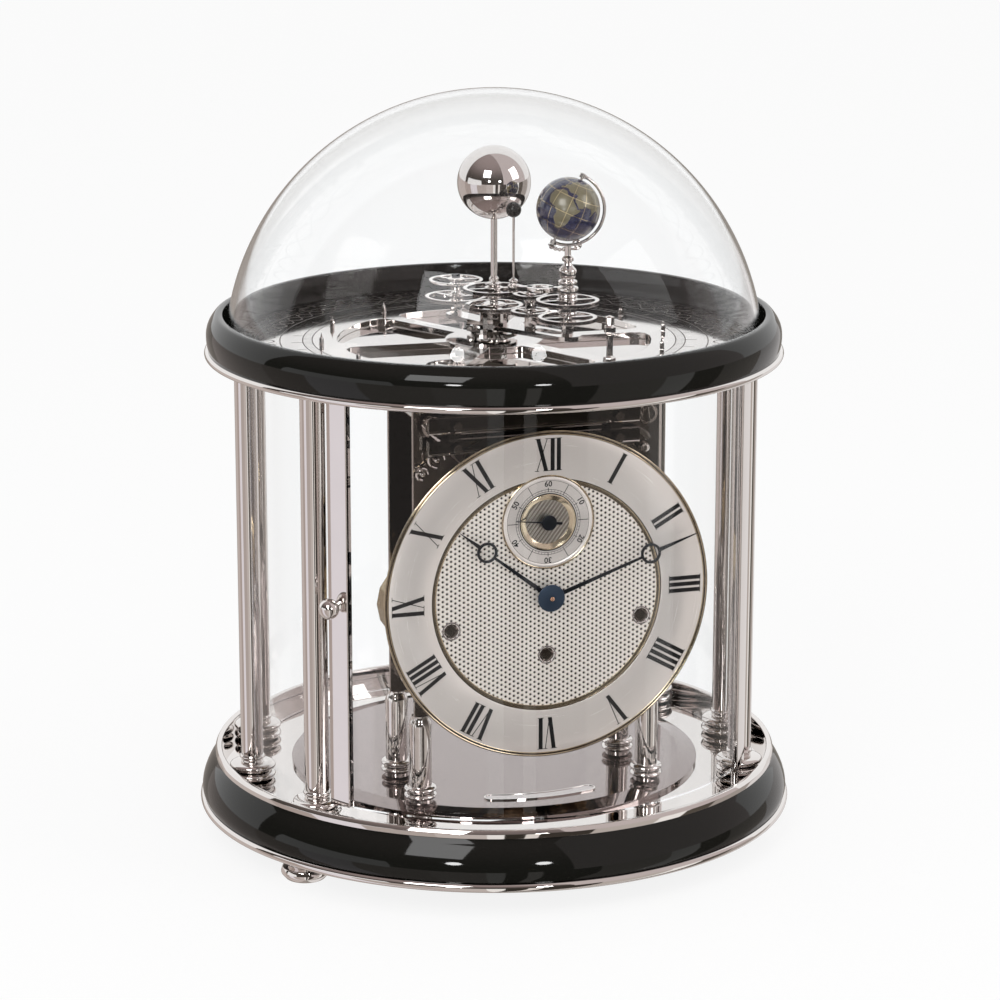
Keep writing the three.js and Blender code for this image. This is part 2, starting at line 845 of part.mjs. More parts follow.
// The turning arm, with its year wheel below and the studs of every wheel above.
function carriageGeometry() {
  const hubTop = lowerWheelLevel - runningGap;
  const stud = (radius, shoulder, top) => [
    rod(3.1, armLow + 0.5, shoulder),
    rod(radius, armLow + 0.5, top),
  ];
  const joined = [
    rod(7.6, yearWheelLow, hubTop, 16),
    armPlate(armLength, earthTurn, 15, armLow, armTop),
    armPlate(tailReach, tailTurn, 11, armLow, armTop),
    at(
      toothedDisc({
        teeth: yearTeeth,
        radius: yearRadius,
        phase: 0,
        bore: 6.5,
        thickness: 2,
      }),
      0,
      0,
      yearWheelLow,
    ),
  ];
  for (const part of stud(studRadius, shoulderTop, upperTop + 2)) {
    joined.push(at(part, idlerAt.x, idlerAt.y));
  }
  for (const part of stud(studRadius, shoulderTop, upperTop + 8)) {
    joined.push(at(part, earthAt.x, earthAt.y));
  }
  for (const part of stud(studRadius, shoulderTop, upperTop + 2)) {
    joined.push(at(part, tailAt.x, tailAt.y));
  }
  const lightening = armPlate(12, 0, 8, armLow - 1, armTop + 1);
  const slotAt = polar(32, earthTurn);
  lightening.rotateZ(earthTurn);
  return shaped(joined, [
    rod(pipeRadius + runningGap, yearWheelLow - 1, hubTop + 1),
    at(lightening, slotAt.x, slotAt.y),
  ]);
}
addPart("carriage", carriageGeometry(), nickel);

const studBore = studRadius + runningGap;
addPart(
  "year_pinion",
  shaped([
    rod(yearArborRadius, ceilingBottom - 8, armLow - 0.7, 8),
    rod(3.4, ceilingBottom - 6, ceilingBottom - 3.5, 10),
    at(
      toothedDisc({
        teeth: yearPinionTeeth,
        radius: yearPinionRadius,
        phase: yearPinionPhase,
        bore: 0.8,
        thickness: 2.6,
      }),
      0,
      0,
      yearWheelLow - 0.3,
    ),
  ]),
  nickel,
  yearPinionAt.x,
  yearPinionAt.y,
);

// The idler that keeps the earth's axis parallel, and the idler of the month train above it.
addPart(
  "parallel_idler",
  shaped([
    tube(studBore, 3.2, lowerWheelLevel - 1, upperWheelLevel - runningGap - 0.5),
    at(
      toothedDisc({
        teeth: parallelIdlerTeeth,
        radius: parallelRadius,
        phase: parallelPhase,
        bore: 2.4,
        thickness: wheelThickness,
      }),
      0,
      0,
      lowerWheelLevel,
    ),
  ]),
  nickel,
  idlerAt.x,
  idlerAt.y,
);
addPart(
  "month_idler",
  shaped([
    tube(studBore, 3.2, upperWheelLevel - 0.5, upperTop + 1),
    at(
      toothedDisc({
        teeth: monthIdlerTeeth,
        radius: monthIdlerRadius,
        phase: monthIdlerPhase,
        bore: 2.4,
        thickness: wheelThickness,
      }),
      0,
      0,
      upperWheelLevel,
    ),
  ]),
  nickel,
  idlerAt.x,
  idlerAt.y,
);

// The pair of wheels on the tail: the lower one rolls on the fixed wheel.
const tailUpperRadius = tailReach - monthRadius - 1;
addPart(
  "tail_wheels",
  shaped([
    tube(studBore, 3.4, lowerWheelLevel - 1, upperTop + 1),
    at(
      toothedDisc({
        teeth: tailTeeth,
        radius: tailRadius,
        phase: tailPhase,
        bore: 2.6,
        thickness: wheelThickness,
        spokes: 3,
      }),
      0,
      0,
      lowerWheelLevel,
    ),
    at(tube(tailUpperRadius - 2, tailUpperRadius, 0, wheelThickness, 24), 0, 0, upperWheelLevel),
    ...[0, 1, 2].map((i) =>
      block(2.6, tailUpperRadius - 1, -0.9, 0.9, upperWheelLevel, upperTop).rotateZ(
        (2 * Math.PI * i) / 3,
      ),
    ),
  ]),
  nickel,
  tailAt.x,
  tailAt.y,
);

// The turned stand that keeps its direction, with the half ring that holds the earth.
const columnBore = studRadius + runningGap;
const standNeck = 3.2;
const meridianRadius = earthRadius + 2.2;
const poleSpan = radians(90 - earthTilt);

function meridianArc() {
  const points = [];
  const steps = 14;
  for (let i = 0; i <= steps; i += 1) {
    const turn = poleSpan - (Math.PI * i) / steps;
    points.push(
      new THREE.Vector3(meridianRadius * Math.cos(turn), 0, earthHeight + meridianRadius * Math.sin(turn)),
    );
  }
  const section = new THREE.Shape();
  section.absarc(0, 0, 0.85, 0, 2 * Math.PI, false);
  return new THREE.ExtrudeGeometry(section, {
    steps,
    curveSegments: 3,
    extrudePath: new THREE.CatmullRomCurve3(points),
  });
}

// Places a geometry made along +Z at the earth's centre onto the tilted axis.
const leanTurn = radians(earthLean);
const onEarthAxis = (geometry) =>
  geometry.rotateY(radians(earthTilt)).translate(0, 0, earthHeight).rotateZ(leanTurn);

const polePin = 0.7;
const poleBearing = 1.7;
function turntableGeometry() {
  const neckTop = upperTop + 7.5;
  const standTop = earthHeight - meridianRadius - 0.2;
  const stand = turned(
    [
      [0, neckTop - 6],
      [standNeck, neckTop - 6],
      [standNeck, neckTop],
      [5, neckTop + 0.4],
      [5, neckTop + 2.4],
      [3.4, neckTop + 3.4],
      [4.4, neckTop + 5.6],
      [4.6, neckTop + 8],
      [3.2, neckTop + 10.5],
      [2.2, neckTop + 12],
      [3, neckTop + 13.2],
      [3, neckTop + 14.6],
      [1.8, neckTop + 16],
      [1.8, standTop],
      [0, standTop + 1],
    ],
    8,
  );
  const joined = [
    rod(standNeck, lowerWheelLevel - 1, neckTop - 2),
    stand,
    meridianArc().rotateZ(leanTurn),
    onEarthAxis(tube(polePin + runningGap, poleBearing, meridianRadius - 1.1, meridianRadius + 1.1, 8)),
    onEarthAxis(tube(polePin + runningGap, poleBearing, -meridianRadius - 1.1, -meridianRadius + 1.1, 8)),
    at(
      toothedDisc({
        teeth: fixedTeeth,
        radius: fixedRadius,
        phase: turntablePhase,
        bore: 2.4,
        thickness: wheelThickness,
        spokes: 4,
        hub: 5,
      }),
      0,
      0,
      lowerWheelLevel,
    ),
  ];
  return shaped(joined, [
    rod(columnBore, lowerWheelLevel - 2, upperTop + 8 + runningGap),
    onEarthAxis(rod(polePin + runningGap, -meridianRadius - 3, -meridianRadius + 3, 8)),
    onEarthAxis(rod(polePin + runningGap, meridianRadius - 3, meridianRadius + 3, 8)),
  ]);
}
addPart("earth_turntable", turntableGeometry(), nickel, earthAt.x, earthAt.y);

addPart(
  "earth_globe",
  shaped([
    onEarthAxis(new THREE.SphereGeometry(earthRadius, 18, 12).rotateX(Math.PI / 2)),
    onEarthAxis(rod(polePin, -meridianRadius - 3.4, meridianRadius + 0.9, 8)),
    onEarthAxis(rod(2.4, -meridianRadius - 2.6, -meridianRadius - 1.6, 12)),
  ]),
  globePaint,
  earthAt.x,
  earthAt.y,
);

// The wheel that carries the moon's arm and rod round the earth's stand.
const moonRod = 0.6;
const moonArmLow = upperTop + 4;
const moonArmTop = moonArmLow + 2.4;
function moonWheelGeometry() {
  const turn = radians(moonHeading);
  const spot = polar(moonOrbit, turn);
  const half = polar(moonOrbit / 2, turn);
  return shaped(
    [
      rod(5, lowerTop + 0.5, moonArmTop),
      at(
        toothedDisc({
          teeth: monthTeeth,
          radius: monthRadius,
          phase: moonWheelPhase,
          bore: 4.2,
          thickness: wheelThickness,
          spokes: 4,
          hub: 5.6,
        }),
        0,
        0,
        upperWheelLevel,
      ),
      armPlate(moonOrbit, turn, 5.6, moonArmLow, moonArmTop),
      at(rod(7.2, moonArmLow, moonArmTop, 20), half.x, half.y),
      at(rod(1.6, moonArmTop - 0.5, moonArmTop + 4, 8), spot.x, spot.y),
      at(rod(moonRod, moonArmTop + 1, moonHeight - moonRadius + 1.6, 6), spot.x, spot.y),
    ],
    [
      rod(standNeck + runningGap, lowerTop - 1, moonArmTop + 1),
      at(rod(3, moonArmLow - 1, moonArmTop + 1, 8), half.x, half.y),
    ],
  );
}
addPart("moon_wheel", moonWheelGeometry(), nickel, earthAt.x, earthAt.y);

const moonAt = polar(moonOrbit, radians(moonHeading)).add(earthAt);
addPart(
  "moon_globe",
  shaped(
    [new THREE.SphereGeometry(moonRadius, 10, 6).rotateX(Math.PI / 2)],
    [rod(moonRod + seatGap, -moonRadius - 1, -moonRadius + 2, 6)],
  ),
  moonPaint,
  moonAt.x,
  moonAt.y,
  moonHeight,
);

// Movement: two plates on four legs, with three barrels between them
function legGeometry() {
  const bead = 3.2;
  const low = mirrorTop;
  return turned([
    [0, low],
    [legRadius + 0.6, low],
    [legRadius + 0.6, low + 1],
    ...bulge(legRadius, legCollarRadius - legRadius, low + 1.2, low + 1.2 + bead, 3),
    ...bulge(legRadius, legCollarRadius - legRadius, low + 4.8, low + 4.8 + bead, 3),
    [legRadius, legTop - 5],
    [legRadius - 1.6, legTop - 1],
    [legRadius - 1.6, legTop],
    [0, legTop],
  ], postSides);
}
for (const [name, x, y] of [
  ["leg_front_left", -legX, legFrontY],
  ["leg_front_right", legX, legFrontY],
  ["leg_back_left", -legX, legBackY],
  ["leg_back_right", legX, legBackY],
]) {
  addPart(name, legGeometry(), nickel, x, y);
}

// Turns a geometry made along +Z so that its +Z runs to the front, -Y.
const facingFront = (geometry) => geometry.rotateX(Math.PI / 2);
const windingSpots = [
  ["strike", -windingX, dialHeight - windingDrop],
  ["going", 0, dialHeight - centreWindingDrop],
  ["chime", windingX, dialHeight - windingDrop],
];
const windingArbor = 3;
const minuteArbor = 1.2;
const minuteBore = minuteArbor + runningGap;
const hourPipe = minuteBore + 1.2;
const secondsArbor = 0.7;
const pillarX = plateHalfWidth - 9;
const pillarInset = 8;

// A hole along Y through one of the plates.
const drilled = (radius, x, z, sides = 8) =>
  at(facingFront(rod(radius, 0, 120, sides)), x, 0, z);

function plateBlock(front, back) {
  return block(-plateHalfWidth, plateHalfWidth, front, back, legTop, plateTop);
}

function pillarSpots() {
  const spots = [];
  for (const x of [-pillarX, pillarX]) {
    for (const z of [legTop + pillarInset, plateTop - pillarInset]) spots.push([x, z]);
  }
  return spots;
}

function frontPlateGeometry() {
  const joined = [plateBlock(frontPlateFront, frontPlateBack)];
  for (const [x, z] of pillarSpots()) {
    const head = facingFront(
      turned([[0, 0], [4.6, 0], [4.6, 1.8], [3.4, 3.4], [0, 3.4]], 8),
    );
    joined.push(at(head, x, frontPlateFront + 0.2, z));
  }
  const removed = [
    drilled(minuteBore, 0, dialHeight),
    drilled(secondsArbor + runningGap, 0, secondsHeight, 8),
  ];
  for (const [, x, z] of windingSpots) removed.push(drilled(windingArbor + runningGap, x, z));
  return shaped(joined, removed);
}
addPart("front_plate", frontPlateGeometry(), nickel);

function backPlateGeometry() {
  const joined = [plateBlock(backPlateFront, backPlateBack)];
  for (const [x, z] of pillarSpots()) {
    const pillar = facingFront(
      turned(
        [
          [0, -backPlateFront - 1],
          [4, -backPlateFront - 1],
          [4, -frontPlateBack],
          [0, -frontPlateBack],
        ],
        8,
      ),
    );
    joined.push(at(pillar, x, 0, z));
  }
  const removed = windingSpots.map(([, x, z]) => drilled(windingArbor + runningGap, x, z));
  return shaped(joined, removed);
}
addPart("back_plate", backPlateGeometry(), nickel);

// A spring barrel: a drum with a toothed rim at the front, free on its winding arbor.
function barrelGeometry(radius) {
  const front = -frontPlateBack - 1.2;
  const back = -backPlateFront + 3;
  const bore = windingArbor + runningGap;
  const drum = tube(bore, radius - 3.4, back, front - 1, 16);
  const teeth = toothedDisc({
    teeth: barrelTeeth,
    radius: radius - 1,
    phase: 0,
    bore,
    thickness: 2.6,
  });
  return facingFront(shaped([drum, at(teeth, 0, 0, front - 2.6)]));
}

function windingArborGeometry() {
  const square = 2.5 * Math.SQRT2;
  const tip = dialFront - 1.2;
  return facingFront(
    shaped([
      rod(windingArbor, -backPlateBack - 1, -frontPlateFront + 2.5),
      rod(square, -frontPlateFront + 2, tip, 4),
    ]),
  );
}
for (const [name, x, z] of windingSpots) {
  addPart(`${name}_barrel`, barrelGeometry(barrelRadius), brass, x, 0, z);
  addPart(`${name}_winding_arbor`, windingArborGeometry(), nickel, x, 0, z);
}

// Two bevelled bars in front of the plate, above the dial.
function leverBridgeGeometry() {
  const standOff = 4;
  const thickness = 5;
  const chamfer = 2;
  const left = 6 - plateHalfWidth;
  const right = plateHalfWidth - 14;
  const joined = [];
  for (const [drop, height] of [[22, 7], [11, 8]]) {
    const low = plateTop - drop;
    const high = low + height;
    const shape = new THREE.Shape();
    shape.moveTo(low, 0);
    shape.lineTo(low, thickness - chamfer);
    shape.lineTo(low + chamfer, thickness);
    shape.lineTo(high, thickness);
    shape.lineTo(high, 0);
    const bar = new THREE.ExtrudeGeometry(shape, { depth: right - left, bevelEnabled: false });
    const placed = new THREE.Matrix4().makeBasis(
      new THREE.Vector3(0, 0, 1),
      new THREE.Vector3(0, -1, 0),
      new THREE.Vector3(1, 0, 0),
    );
    joined.push(at(bar.applyMatrix4(placed), left, frontPlateFront - standOff));
  }
  for (const x of [left + 14, right - 12]) {
    const front = frontPlateFront - standOff - thickness + chamfer;
    joined.push(block(x - 3, x + 3, front, frontPlateFront, plateTop - 20, plateTop - 5));
  }
  return shaped(joined);
}
addPart("lever_bridge", leverBridgeGeometry(), nickel);

// Dial: everything below is made flat, with +Z to the front, and then stood up
const dial = new THREE.Group();
dial.rotation.x = Math.PI / 2;
dial.position.z = dialHeight;
clock.add(dial);

const centreHole = hourPipe + 0.6;
function chapterRingGeometry() {
  const ring = tube(chapterInner, dialRadius, chapterBack, dialFront, roundSides);
  const space = rod(secondsRadius + seatGap, chapterBack - 1, dialFront + 1, 32);
  return shaped([ring], [at(space, 0, secondsOffset)]);
}
addPart("chapter_ring", chapterRingGeometry(), silver, 0, 0, 0, dial);

function dialCentreGeometry() {
  const joined = [rod(dialRadius - 1, dialBack, chapterBack, roundSides)];
  for (const x of [-postX, postX]) {
    for (const y of [postLow, postHigh]) {
      joined.push(at(rod(2.2, -frontPlateFront, dialBack + 0.5, 8), x, y));
    }
  }
  const removed = [
    rod(centreHole, dialBack - 1, dialFront, 12),
    at(rod(secondsArbor + 0.5, dialBack - 1, dialFront, 8), 0, secondsOffset),
  ];
  for (const [, x, z] of windingSpots) {
    removed.push(at(rod(windingHole, dialBack - 1, dialFront, 10), x, z - dialHeight));
  }
  return shaped(joined, removed);
}
addPart("dial_centre", dialCentreGeometry(), silver, 0, 0, 0, dial);
addPart(
  "seconds_dial",
  tube(secondsInner, secondsRadius, chapterBack, dialFront + 0.4, 32),
  gilt,
  0,
  secondsOffset,
  0,
  dial,
);

// Hands, each with its own pipe or arbor
const secondsHandLevel = dialFront + 1.6;
const hourHandLevel = dialFront + 3;
const minuteHandLevel = dialFront + 5;
const handThickness = 0.7;

// A hand along +Y: a hub, a tapered bar, an open ring and a pointed tip.
function openHand(length, ringAt, ringRadius, hubRadius, barWidth, level) {
  const bar = new THREE.Shape();
  bar.moveTo(-barWidth / 2, 0);
  bar.lineTo(barWidth / 2, 0);
  bar.lineTo(0.5, ringAt - ringRadius + 1);
  bar.lineTo(-0.5, ringAt - ringRadius + 1);
  const tip = new THREE.Shape();
  tip.moveTo(-1.1, ringAt + ringRadius - 0.6);
  tip.lineTo(1.1, ringAt + ringRadius - 0.6);
  tip.lineTo(0.25, length);
  tip.lineTo(-0.25, length);
  const top = level + handThickness;
  return [
    rod(hubRadius, level, top, 12),
    prism(bar, level, top),
    prism(tip, level, top),
    at(tube(ringRadius - 1.1, ringRadius, level, top, 16), 0, ringAt),
  ];
}

function minuteHandGeometry() {
  const parts = openHand(minuteHandLength, minuteHandRing, handRing, 4, 2.4, minuteHandLevel);
  const top = minuteHandLevel + handThickness;
  parts.push(rod(minuteHandCap, top - 0.2, top + 1.4, 16));
  parts.push(rod(minuteArbor, -frontPlateBack - 3, top + 2.6, 8));
  return shaped(parts);
}

function hourHandGeometry() {
  const parts = openHand(hourHandLength, hourHandRing, handRing, 5.2, 3, hourHandLevel);
  parts.push(rod(hourPipe, -frontPlateFront + 1.2, hourHandLevel + 0.3));
  parts.push(rod(12, -frontPlateFront + 2, -frontPlateFront + 3.4, 12));
  return shaped(parts, [rod(minuteBore, -frontPlateFront, dialFront + 8)]);
}

function secondsHandGeometry() {
  const top = secondsHandLevel + 0.5;
  const needle = new THREE.Shape();
  needle.moveTo(-0.9, -7);
  needle.lineTo(0.9, -7);
  needle.lineTo(0.25, secondsHandLength);
  needle.lineTo(-0.25, secondsHandLength);
  return shaped([
    prism(needle, secondsHandLevel, top),
    rod(4, secondsHandLevel, top + 0.4, 12),
    rod(secondsArbor, -frontPlateBack - 3, top, 8),
  ]);
}

const minuteHand = addPart("minute_hand", minuteHandGeometry(), blued, 0, 0, 0, dial);
minuteHand.rotation.z = -radians(minuteHandTurn);
const hourHand = addPart("hour_hand", hourHandGeometry(), blued, 0, 0, 0, dial);
hourHand.rotation.z = -radians(hourHandTurn);
const secondsHand = addPart(
  "seconds_hand",
  secondsHandGeometry(),
  blued,
  0,
  secondsOffset,
  0,
  dial,
);
secondsHand.rotation.z = -radians(secondsHandTurn);

export default clock;
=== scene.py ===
"""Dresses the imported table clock: lacquer, nickel, glass, a silvered dial and a small orrery.

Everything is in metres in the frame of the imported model: +Z is up, the dial faces -Y and the
origin is on the ground, on the clock's axis. New pieces are numpy surfaces.
"""
import json
import math

import bmesh
import bpy
import numpy as np
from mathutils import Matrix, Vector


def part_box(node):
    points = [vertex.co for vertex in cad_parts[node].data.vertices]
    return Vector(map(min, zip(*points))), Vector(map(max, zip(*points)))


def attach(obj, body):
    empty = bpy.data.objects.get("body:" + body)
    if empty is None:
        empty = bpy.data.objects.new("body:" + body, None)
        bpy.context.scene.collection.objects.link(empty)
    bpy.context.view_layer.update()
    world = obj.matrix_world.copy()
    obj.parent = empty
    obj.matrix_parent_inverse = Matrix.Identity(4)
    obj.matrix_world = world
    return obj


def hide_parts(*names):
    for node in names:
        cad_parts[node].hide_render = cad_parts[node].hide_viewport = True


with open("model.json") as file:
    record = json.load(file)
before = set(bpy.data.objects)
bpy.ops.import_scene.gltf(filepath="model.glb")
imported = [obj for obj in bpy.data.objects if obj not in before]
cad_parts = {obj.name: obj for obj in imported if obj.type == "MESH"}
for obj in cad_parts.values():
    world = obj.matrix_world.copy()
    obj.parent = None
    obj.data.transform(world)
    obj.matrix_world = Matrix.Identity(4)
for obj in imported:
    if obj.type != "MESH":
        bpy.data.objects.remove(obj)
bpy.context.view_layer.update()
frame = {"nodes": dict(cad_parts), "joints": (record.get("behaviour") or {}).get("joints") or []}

bl_info = {
    "name": "Table clock",
    "version": (1, 0, 0),
    "blender": (4, 5, 0),
    "location": "3D View > Sidebar > Clock",
    "description": "Builds the visible surfaces and finishes of a domed table clock",
    "category": "Object",
}

MM = 0.001
TURN = 2 * math.pi


# The frame's own sizes


def reach(node):
    """Centre, half width, lowest and highest point of a round upright node, from its box."""
    low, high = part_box(node)
    return (low.x + high.x) / 2, (low.y + high.y) / 2, (high.x - low.x) / 2, low.z, high.z


PLINTH_RADIUS = reach("base_plinth")[2]
PLINTH_LOW = reach("base_plinth")[3]
PLINTH_TOP = reach("base_plinth")[4]
BEAD_RADIUS = reach("plinth_lower_bead")[2]
KERB_TOP = reach("plinth_upper_bead")[4]
BASE_TOP = reach("base_plate")[4]
MIRROR_RADIUS = reach("mirror_disc")[2]
MIRROR_TOP = reach("mirror_disc")[4]
CEILING_RADIUS = reach("ceiling_plate")[2]
CEILING_LOW = reach("ceiling_plate")[3]
CEILING_TOP = reach("ceiling_plate")[4]
RING_RADIUS = reach("top_ring")[2]
RING_TOP = reach("top_ring")[4]
DOME_RADIUS = reach("dome_glass")[2]
DOME_LOW = reach("dome_glass")[3]
DOME_TOP = reach("dome_glass")[4]
DOOR_LOW = reach("door_glass")[3]
DOOR_TOP = reach("door_glass")[4]
LEG_TOP = reach("leg_front_left")[4]
SUN_RADIUS = (reach("sun_globe")[4] - reach("sun_globe")[3]) / 2
SUN_HEIGHT = (reach("sun_globe")[4] + reach("sun_globe")[3]) / 2
MOON_RADIUS = reach("moon_globe")[2]
DIAL_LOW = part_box("chapter_ring")[0]
DIAL_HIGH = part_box("chapter_ring")[1]
DIAL_FRONT = -DIAL_LOW.y
DIAL_RADIUS = (DIAL_HIGH.x - DIAL_LOW.x) / 2
DIAL_HEIGHT = (DIAL_HIGH.z + DIAL_LOW.z) / 2

JOINTS = {joint["name"]: joint for joint in frame["joints"]}
EARTH_PLACE = np.array(JOINTS["earth_spin"]["pos_m"])

# Sizes that the frame's boxes don't hold
COLUMN_CIRCLE = 134.4 * MM
COLUMN_RADIUS = 6.4 * MM
COLLAR_RADIUS = 12.6 * MM
COLUMN_ANGLES = {
    "column_front_right": 60,
    "column_right": 90,
    "column_rear_right": 120,
    "column_front_left": -60,
    "column_left": -90,
    "column_rear_left": -120,
}
PANES = {
    "pane_front_right": (60, 90),
    "pane_rear_right": (90, 120),
    "pane_rear": (120, 240),
    "pane_rear_left": (240, 270),
    "pane_front_left": (270, 300),
}
GLASS = 3 * MM
DOOR_MIDDLE = 138 * MM
STILE_ANGLE = 51.3
STILE_WIDTH = 12 * MM
STILE_THICKNESS = 5 * MM
HINGE_PIN = 2 * MM
KNOB_HEIGHT = 151 * MM
SECONDS_OFFSET = JOINTS["seconds_turn"]["pos_m"][2] - DIAL_HEIGHT
SECONDS_RADIUS = 24.7 * MM
CHAPTER_INNER = 61.5 * MM
WINDING_PLACES = [JOINTS[f"{name}_winding_turn"]["pos_m"] for name in ("strike", "going", "chime")]
WINDING_SPOTS = [(spot[0], spot[2] - DIAL_HEIGHT) for spot in WINDING_PLACES]
MINUTE_TURN = 70.2
HOUR_TURN = 308
SECONDS_TURN = 276.5
HAND_RING = 5.4 * MM
ARBOR_END = 72 * MM
EARTH_RADIUS = 16.4 * MM
HALF_RING_RADIUS = EARTH_RADIUS + 2.2 * MM
EARTH_TILT = math.radians(23.5)
EARTH_LEAN = math.radians(-17.2)
# The turn of the globe's zero meridian from +X, so that Africa faces the front
FIRST_MERIDIAN = -125

# The photograph's camera
LENS = 122.016
SENSOR = 36.0
CAMERA_PLACE = (-0.5199, -1.6796, 0.62225)
CAMERA_PITCH = 14.228
CAMERA_TURN = 17.218
CAMERA_SHIFT = 0.0049


# Numpy surfaces


def lattice(rows, columns, close_rows=False, close_columns=False):
    """Quads between neighbouring points of a grid whose points run row by row."""
    row = np.arange(rows if close_rows else rows - 1)
    column = np.arange(columns if close_columns else columns - 1)
    near, left = np.meshgrid(row, column, indexing="ij")
    far = (near + 1) % rows
    right = (left + 1) % columns
    quads = [near * columns + left, near * columns + right, far * columns + right, far * columns + left]
    return np.stack(quads, -1).reshape(-1, 4)


def rounded(corners, steps=4):
    """A path through (r, z, fillet) corners: each fillet is an arc that touches both sides.

    The arc's ends lie fillet * tan(half the turn) from the corner, and its points follow
    centre + fillet * (cos, sin) of evenly spaced angles.
    """
    points = np.array([corner[:2] for corner in corners], float)
    path = []
    for i, corner in enumerate(corners):
        fillet = corner[2] if len(corner) > 2 else 0
        if fillet == 0 or i in (0, len(corners) - 1):
            path.append(points[i])
            continue
        before = points[i - 1] - points[i]
        after = points[i + 1] - points[i]
        before_length, after_length = np.hypot(*before), np.hypot(*after)
        before /= before_length
        after /= after_length
        half = math.acos(float(np.clip(before @ after, -1, 1))) / 2
        if abs(half - math.pi / 2) < 1e-3:
            path.append(points[i])
            continue
        cut = min(fillet / math.tan(half), 0.49 * before_length, 0.49 * after_length)
        radius = cut * math.tan(half)
        middle = points[i] + (before + after) / np.hypot(*(before + after)) * radius / math.sin(half)
        start, end = points[i] + before * cut - middle, points[i] + after * cut - middle
        first = math.atan2(start[1], start[0])
        sweep = (math.atan2(end[1], end[0]) - first + math.pi) % TURN - math.pi
        angle = first + sweep * np.linspace(0, 1, steps + 1)
        path.extend(middle + radius * np.stack([np.cos(angle), np.sin(angle)], 1))
    return np.array(path)


def bead(radius, depth, low, high, steps=8):
    """Half-round points that bulge out from a radius: r + depth * sin, z from low to high by -cos."""
    turn = np.linspace(0, math.pi, steps + 1)
    return np.stack([radius + depth * np.sin(turn), (low + high) / 2 - (high - low) / 2 * np.cos(turn)], 1)


def turned(profile, centre=(0, 0), segments=96, closed=False):
    """A surface of revolution: (r, z) carried round Z as (r cos t, r sin t, z)."""
    profile = np.asarray(profile, float)
    turn = np.arange(segments) * TURN / segments
    radius, height = profile[:, 0][:, None], profile[:, 1][:, None]
    points = np.stack(
        [
            centre[0] + radius * np.cos(turn),
            centre[1] + radius * np.sin(turn),
            height + 0 * turn,
        ],
        -1,
    )
    return points.reshape(-1, 3), lattice(len(profile), segments, closed, True)


def collet(corners, spot=(0, 0), closed=True, segments=32, steps=3):
    """A turned piece from (r, z, fillet) corners in millimetres; a closed one has a bore."""
    path = rounded([tuple(part * MM for part in corner) for corner in corners], steps)
    return turned(path[:-1] if closed else path, spot, segments, closed)


def ring(radius, section, height, centre=(0, 0), segments=96, sides=10):
    """A round ring: a circle of radius section carried round Z at a radius and a height."""
    turn = np.arange(sides) * TURN / sides
    profile = np.stack([radius + section * np.cos(turn), height + section * np.sin(turn)], 1)
    return turned(profile, centre, segments, True)


def ball(radius, centre=(0, 0, 0), rows=32, columns=64):
    """A sphere from pole to pole: r (cos a cos t, cos a sin t, sin a)."""
    climb = np.linspace(-math.pi / 2, math.pi / 2, rows + 1)
    profile = np.stack([radius * np.cos(climb), radius * np.sin(climb)], 1)
    profile[0, 0] = profile[-1, 0] = 0
    points, faces = turned(profile, (0, 0), columns)
    return points + np.array(centre), faces


def prism(outline, low, high, bevel=0.0):
    """A flat shape between two heights, its edges drawn in by a bevel at both ends.

    Each corner moves inwards along the mean of its two sides' normals.
    """
    outline = np.asarray(outline, float)
    count = len(outline)
    ahead = np.roll(outline, -1, 0) - outline
    normal = np.stack([ahead[:, 1], -ahead[:, 0]], 1)
    normal /= np.linalg.norm(normal, axis=1, keepdims=True)
    inward = -(normal + np.roll(normal, 1, 0))
    inward /= np.maximum(np.sum(inward**2, 1, keepdims=True) / 2, 0.2)
    levels = [(low, bevel), (low + bevel, 0), (high - bevel, 0), (high, bevel)]
    if bevel == 0:
        levels = [(low, 0), (high, 0)]
    rows = [np.column_stack([outline + inward * inset, np.full(count, level)]) for level, inset in levels]
    points = np.concatenate(rows)
    faces = lattice(len(levels), count, False, True).tolist()
    faces.append(list(range(count))[::-1])
    faces.append([(len(levels) - 1) * count + i for i in range(count)])
    return points, faces


def bar(start, end, start_width, end_width, low, high, bevel=0.0):
    """A straight tapered strip between two points of the plane, as a prism."""
    start, end = np.array(start, float), np.array(end, float)
    along = (end - start) / np.hypot(*(end - start))
    across = np.array([-along[1], along[0]])
    outline = [
        start - across * start_width / 2,
        end - across * end_width / 2,
        end + across * end_width / 2,
        start + across * start_width / 2,
    ]
    return prism(outline, low, high, bevel)


def tube(path, radius, sides=12):
    """A round section carried along a path: p + radius (cos t n + sin t b), in the path's own plane."""
    path = np.asarray(path, float)
    along = np.gradient(path, axis=0)
    along /= np.linalg.norm(along, axis=1, keepdims=True)
    normal = np.cross(path[-1] - path[0], path[len(path) // 2] - path[0])
    normal /= np.linalg.norm(normal)
    side = np.cross(along, normal)
    turn = np.arange(sides) * TURN / sides
    points = (
        path[:, None]
        + radius * np.cos(turn)[None, :, None] * side[:, None]
        + radius * np.sin(turn)[None, :, None] * normal
    )
    faces = lattice(len(path), sides, False, True).tolist()
    faces.append(list(range(sides))[::-1])
    faces.append([(len(path) - 1) * sides + i for i in range(sides)])
    return points.reshape(-1, 3), faces


def pin(radius, low, high):
    """The (r, z) profile of a plain round pin, closed at both ends."""
    return [(0, low), (radius, low), (radius, high), (0, high)]


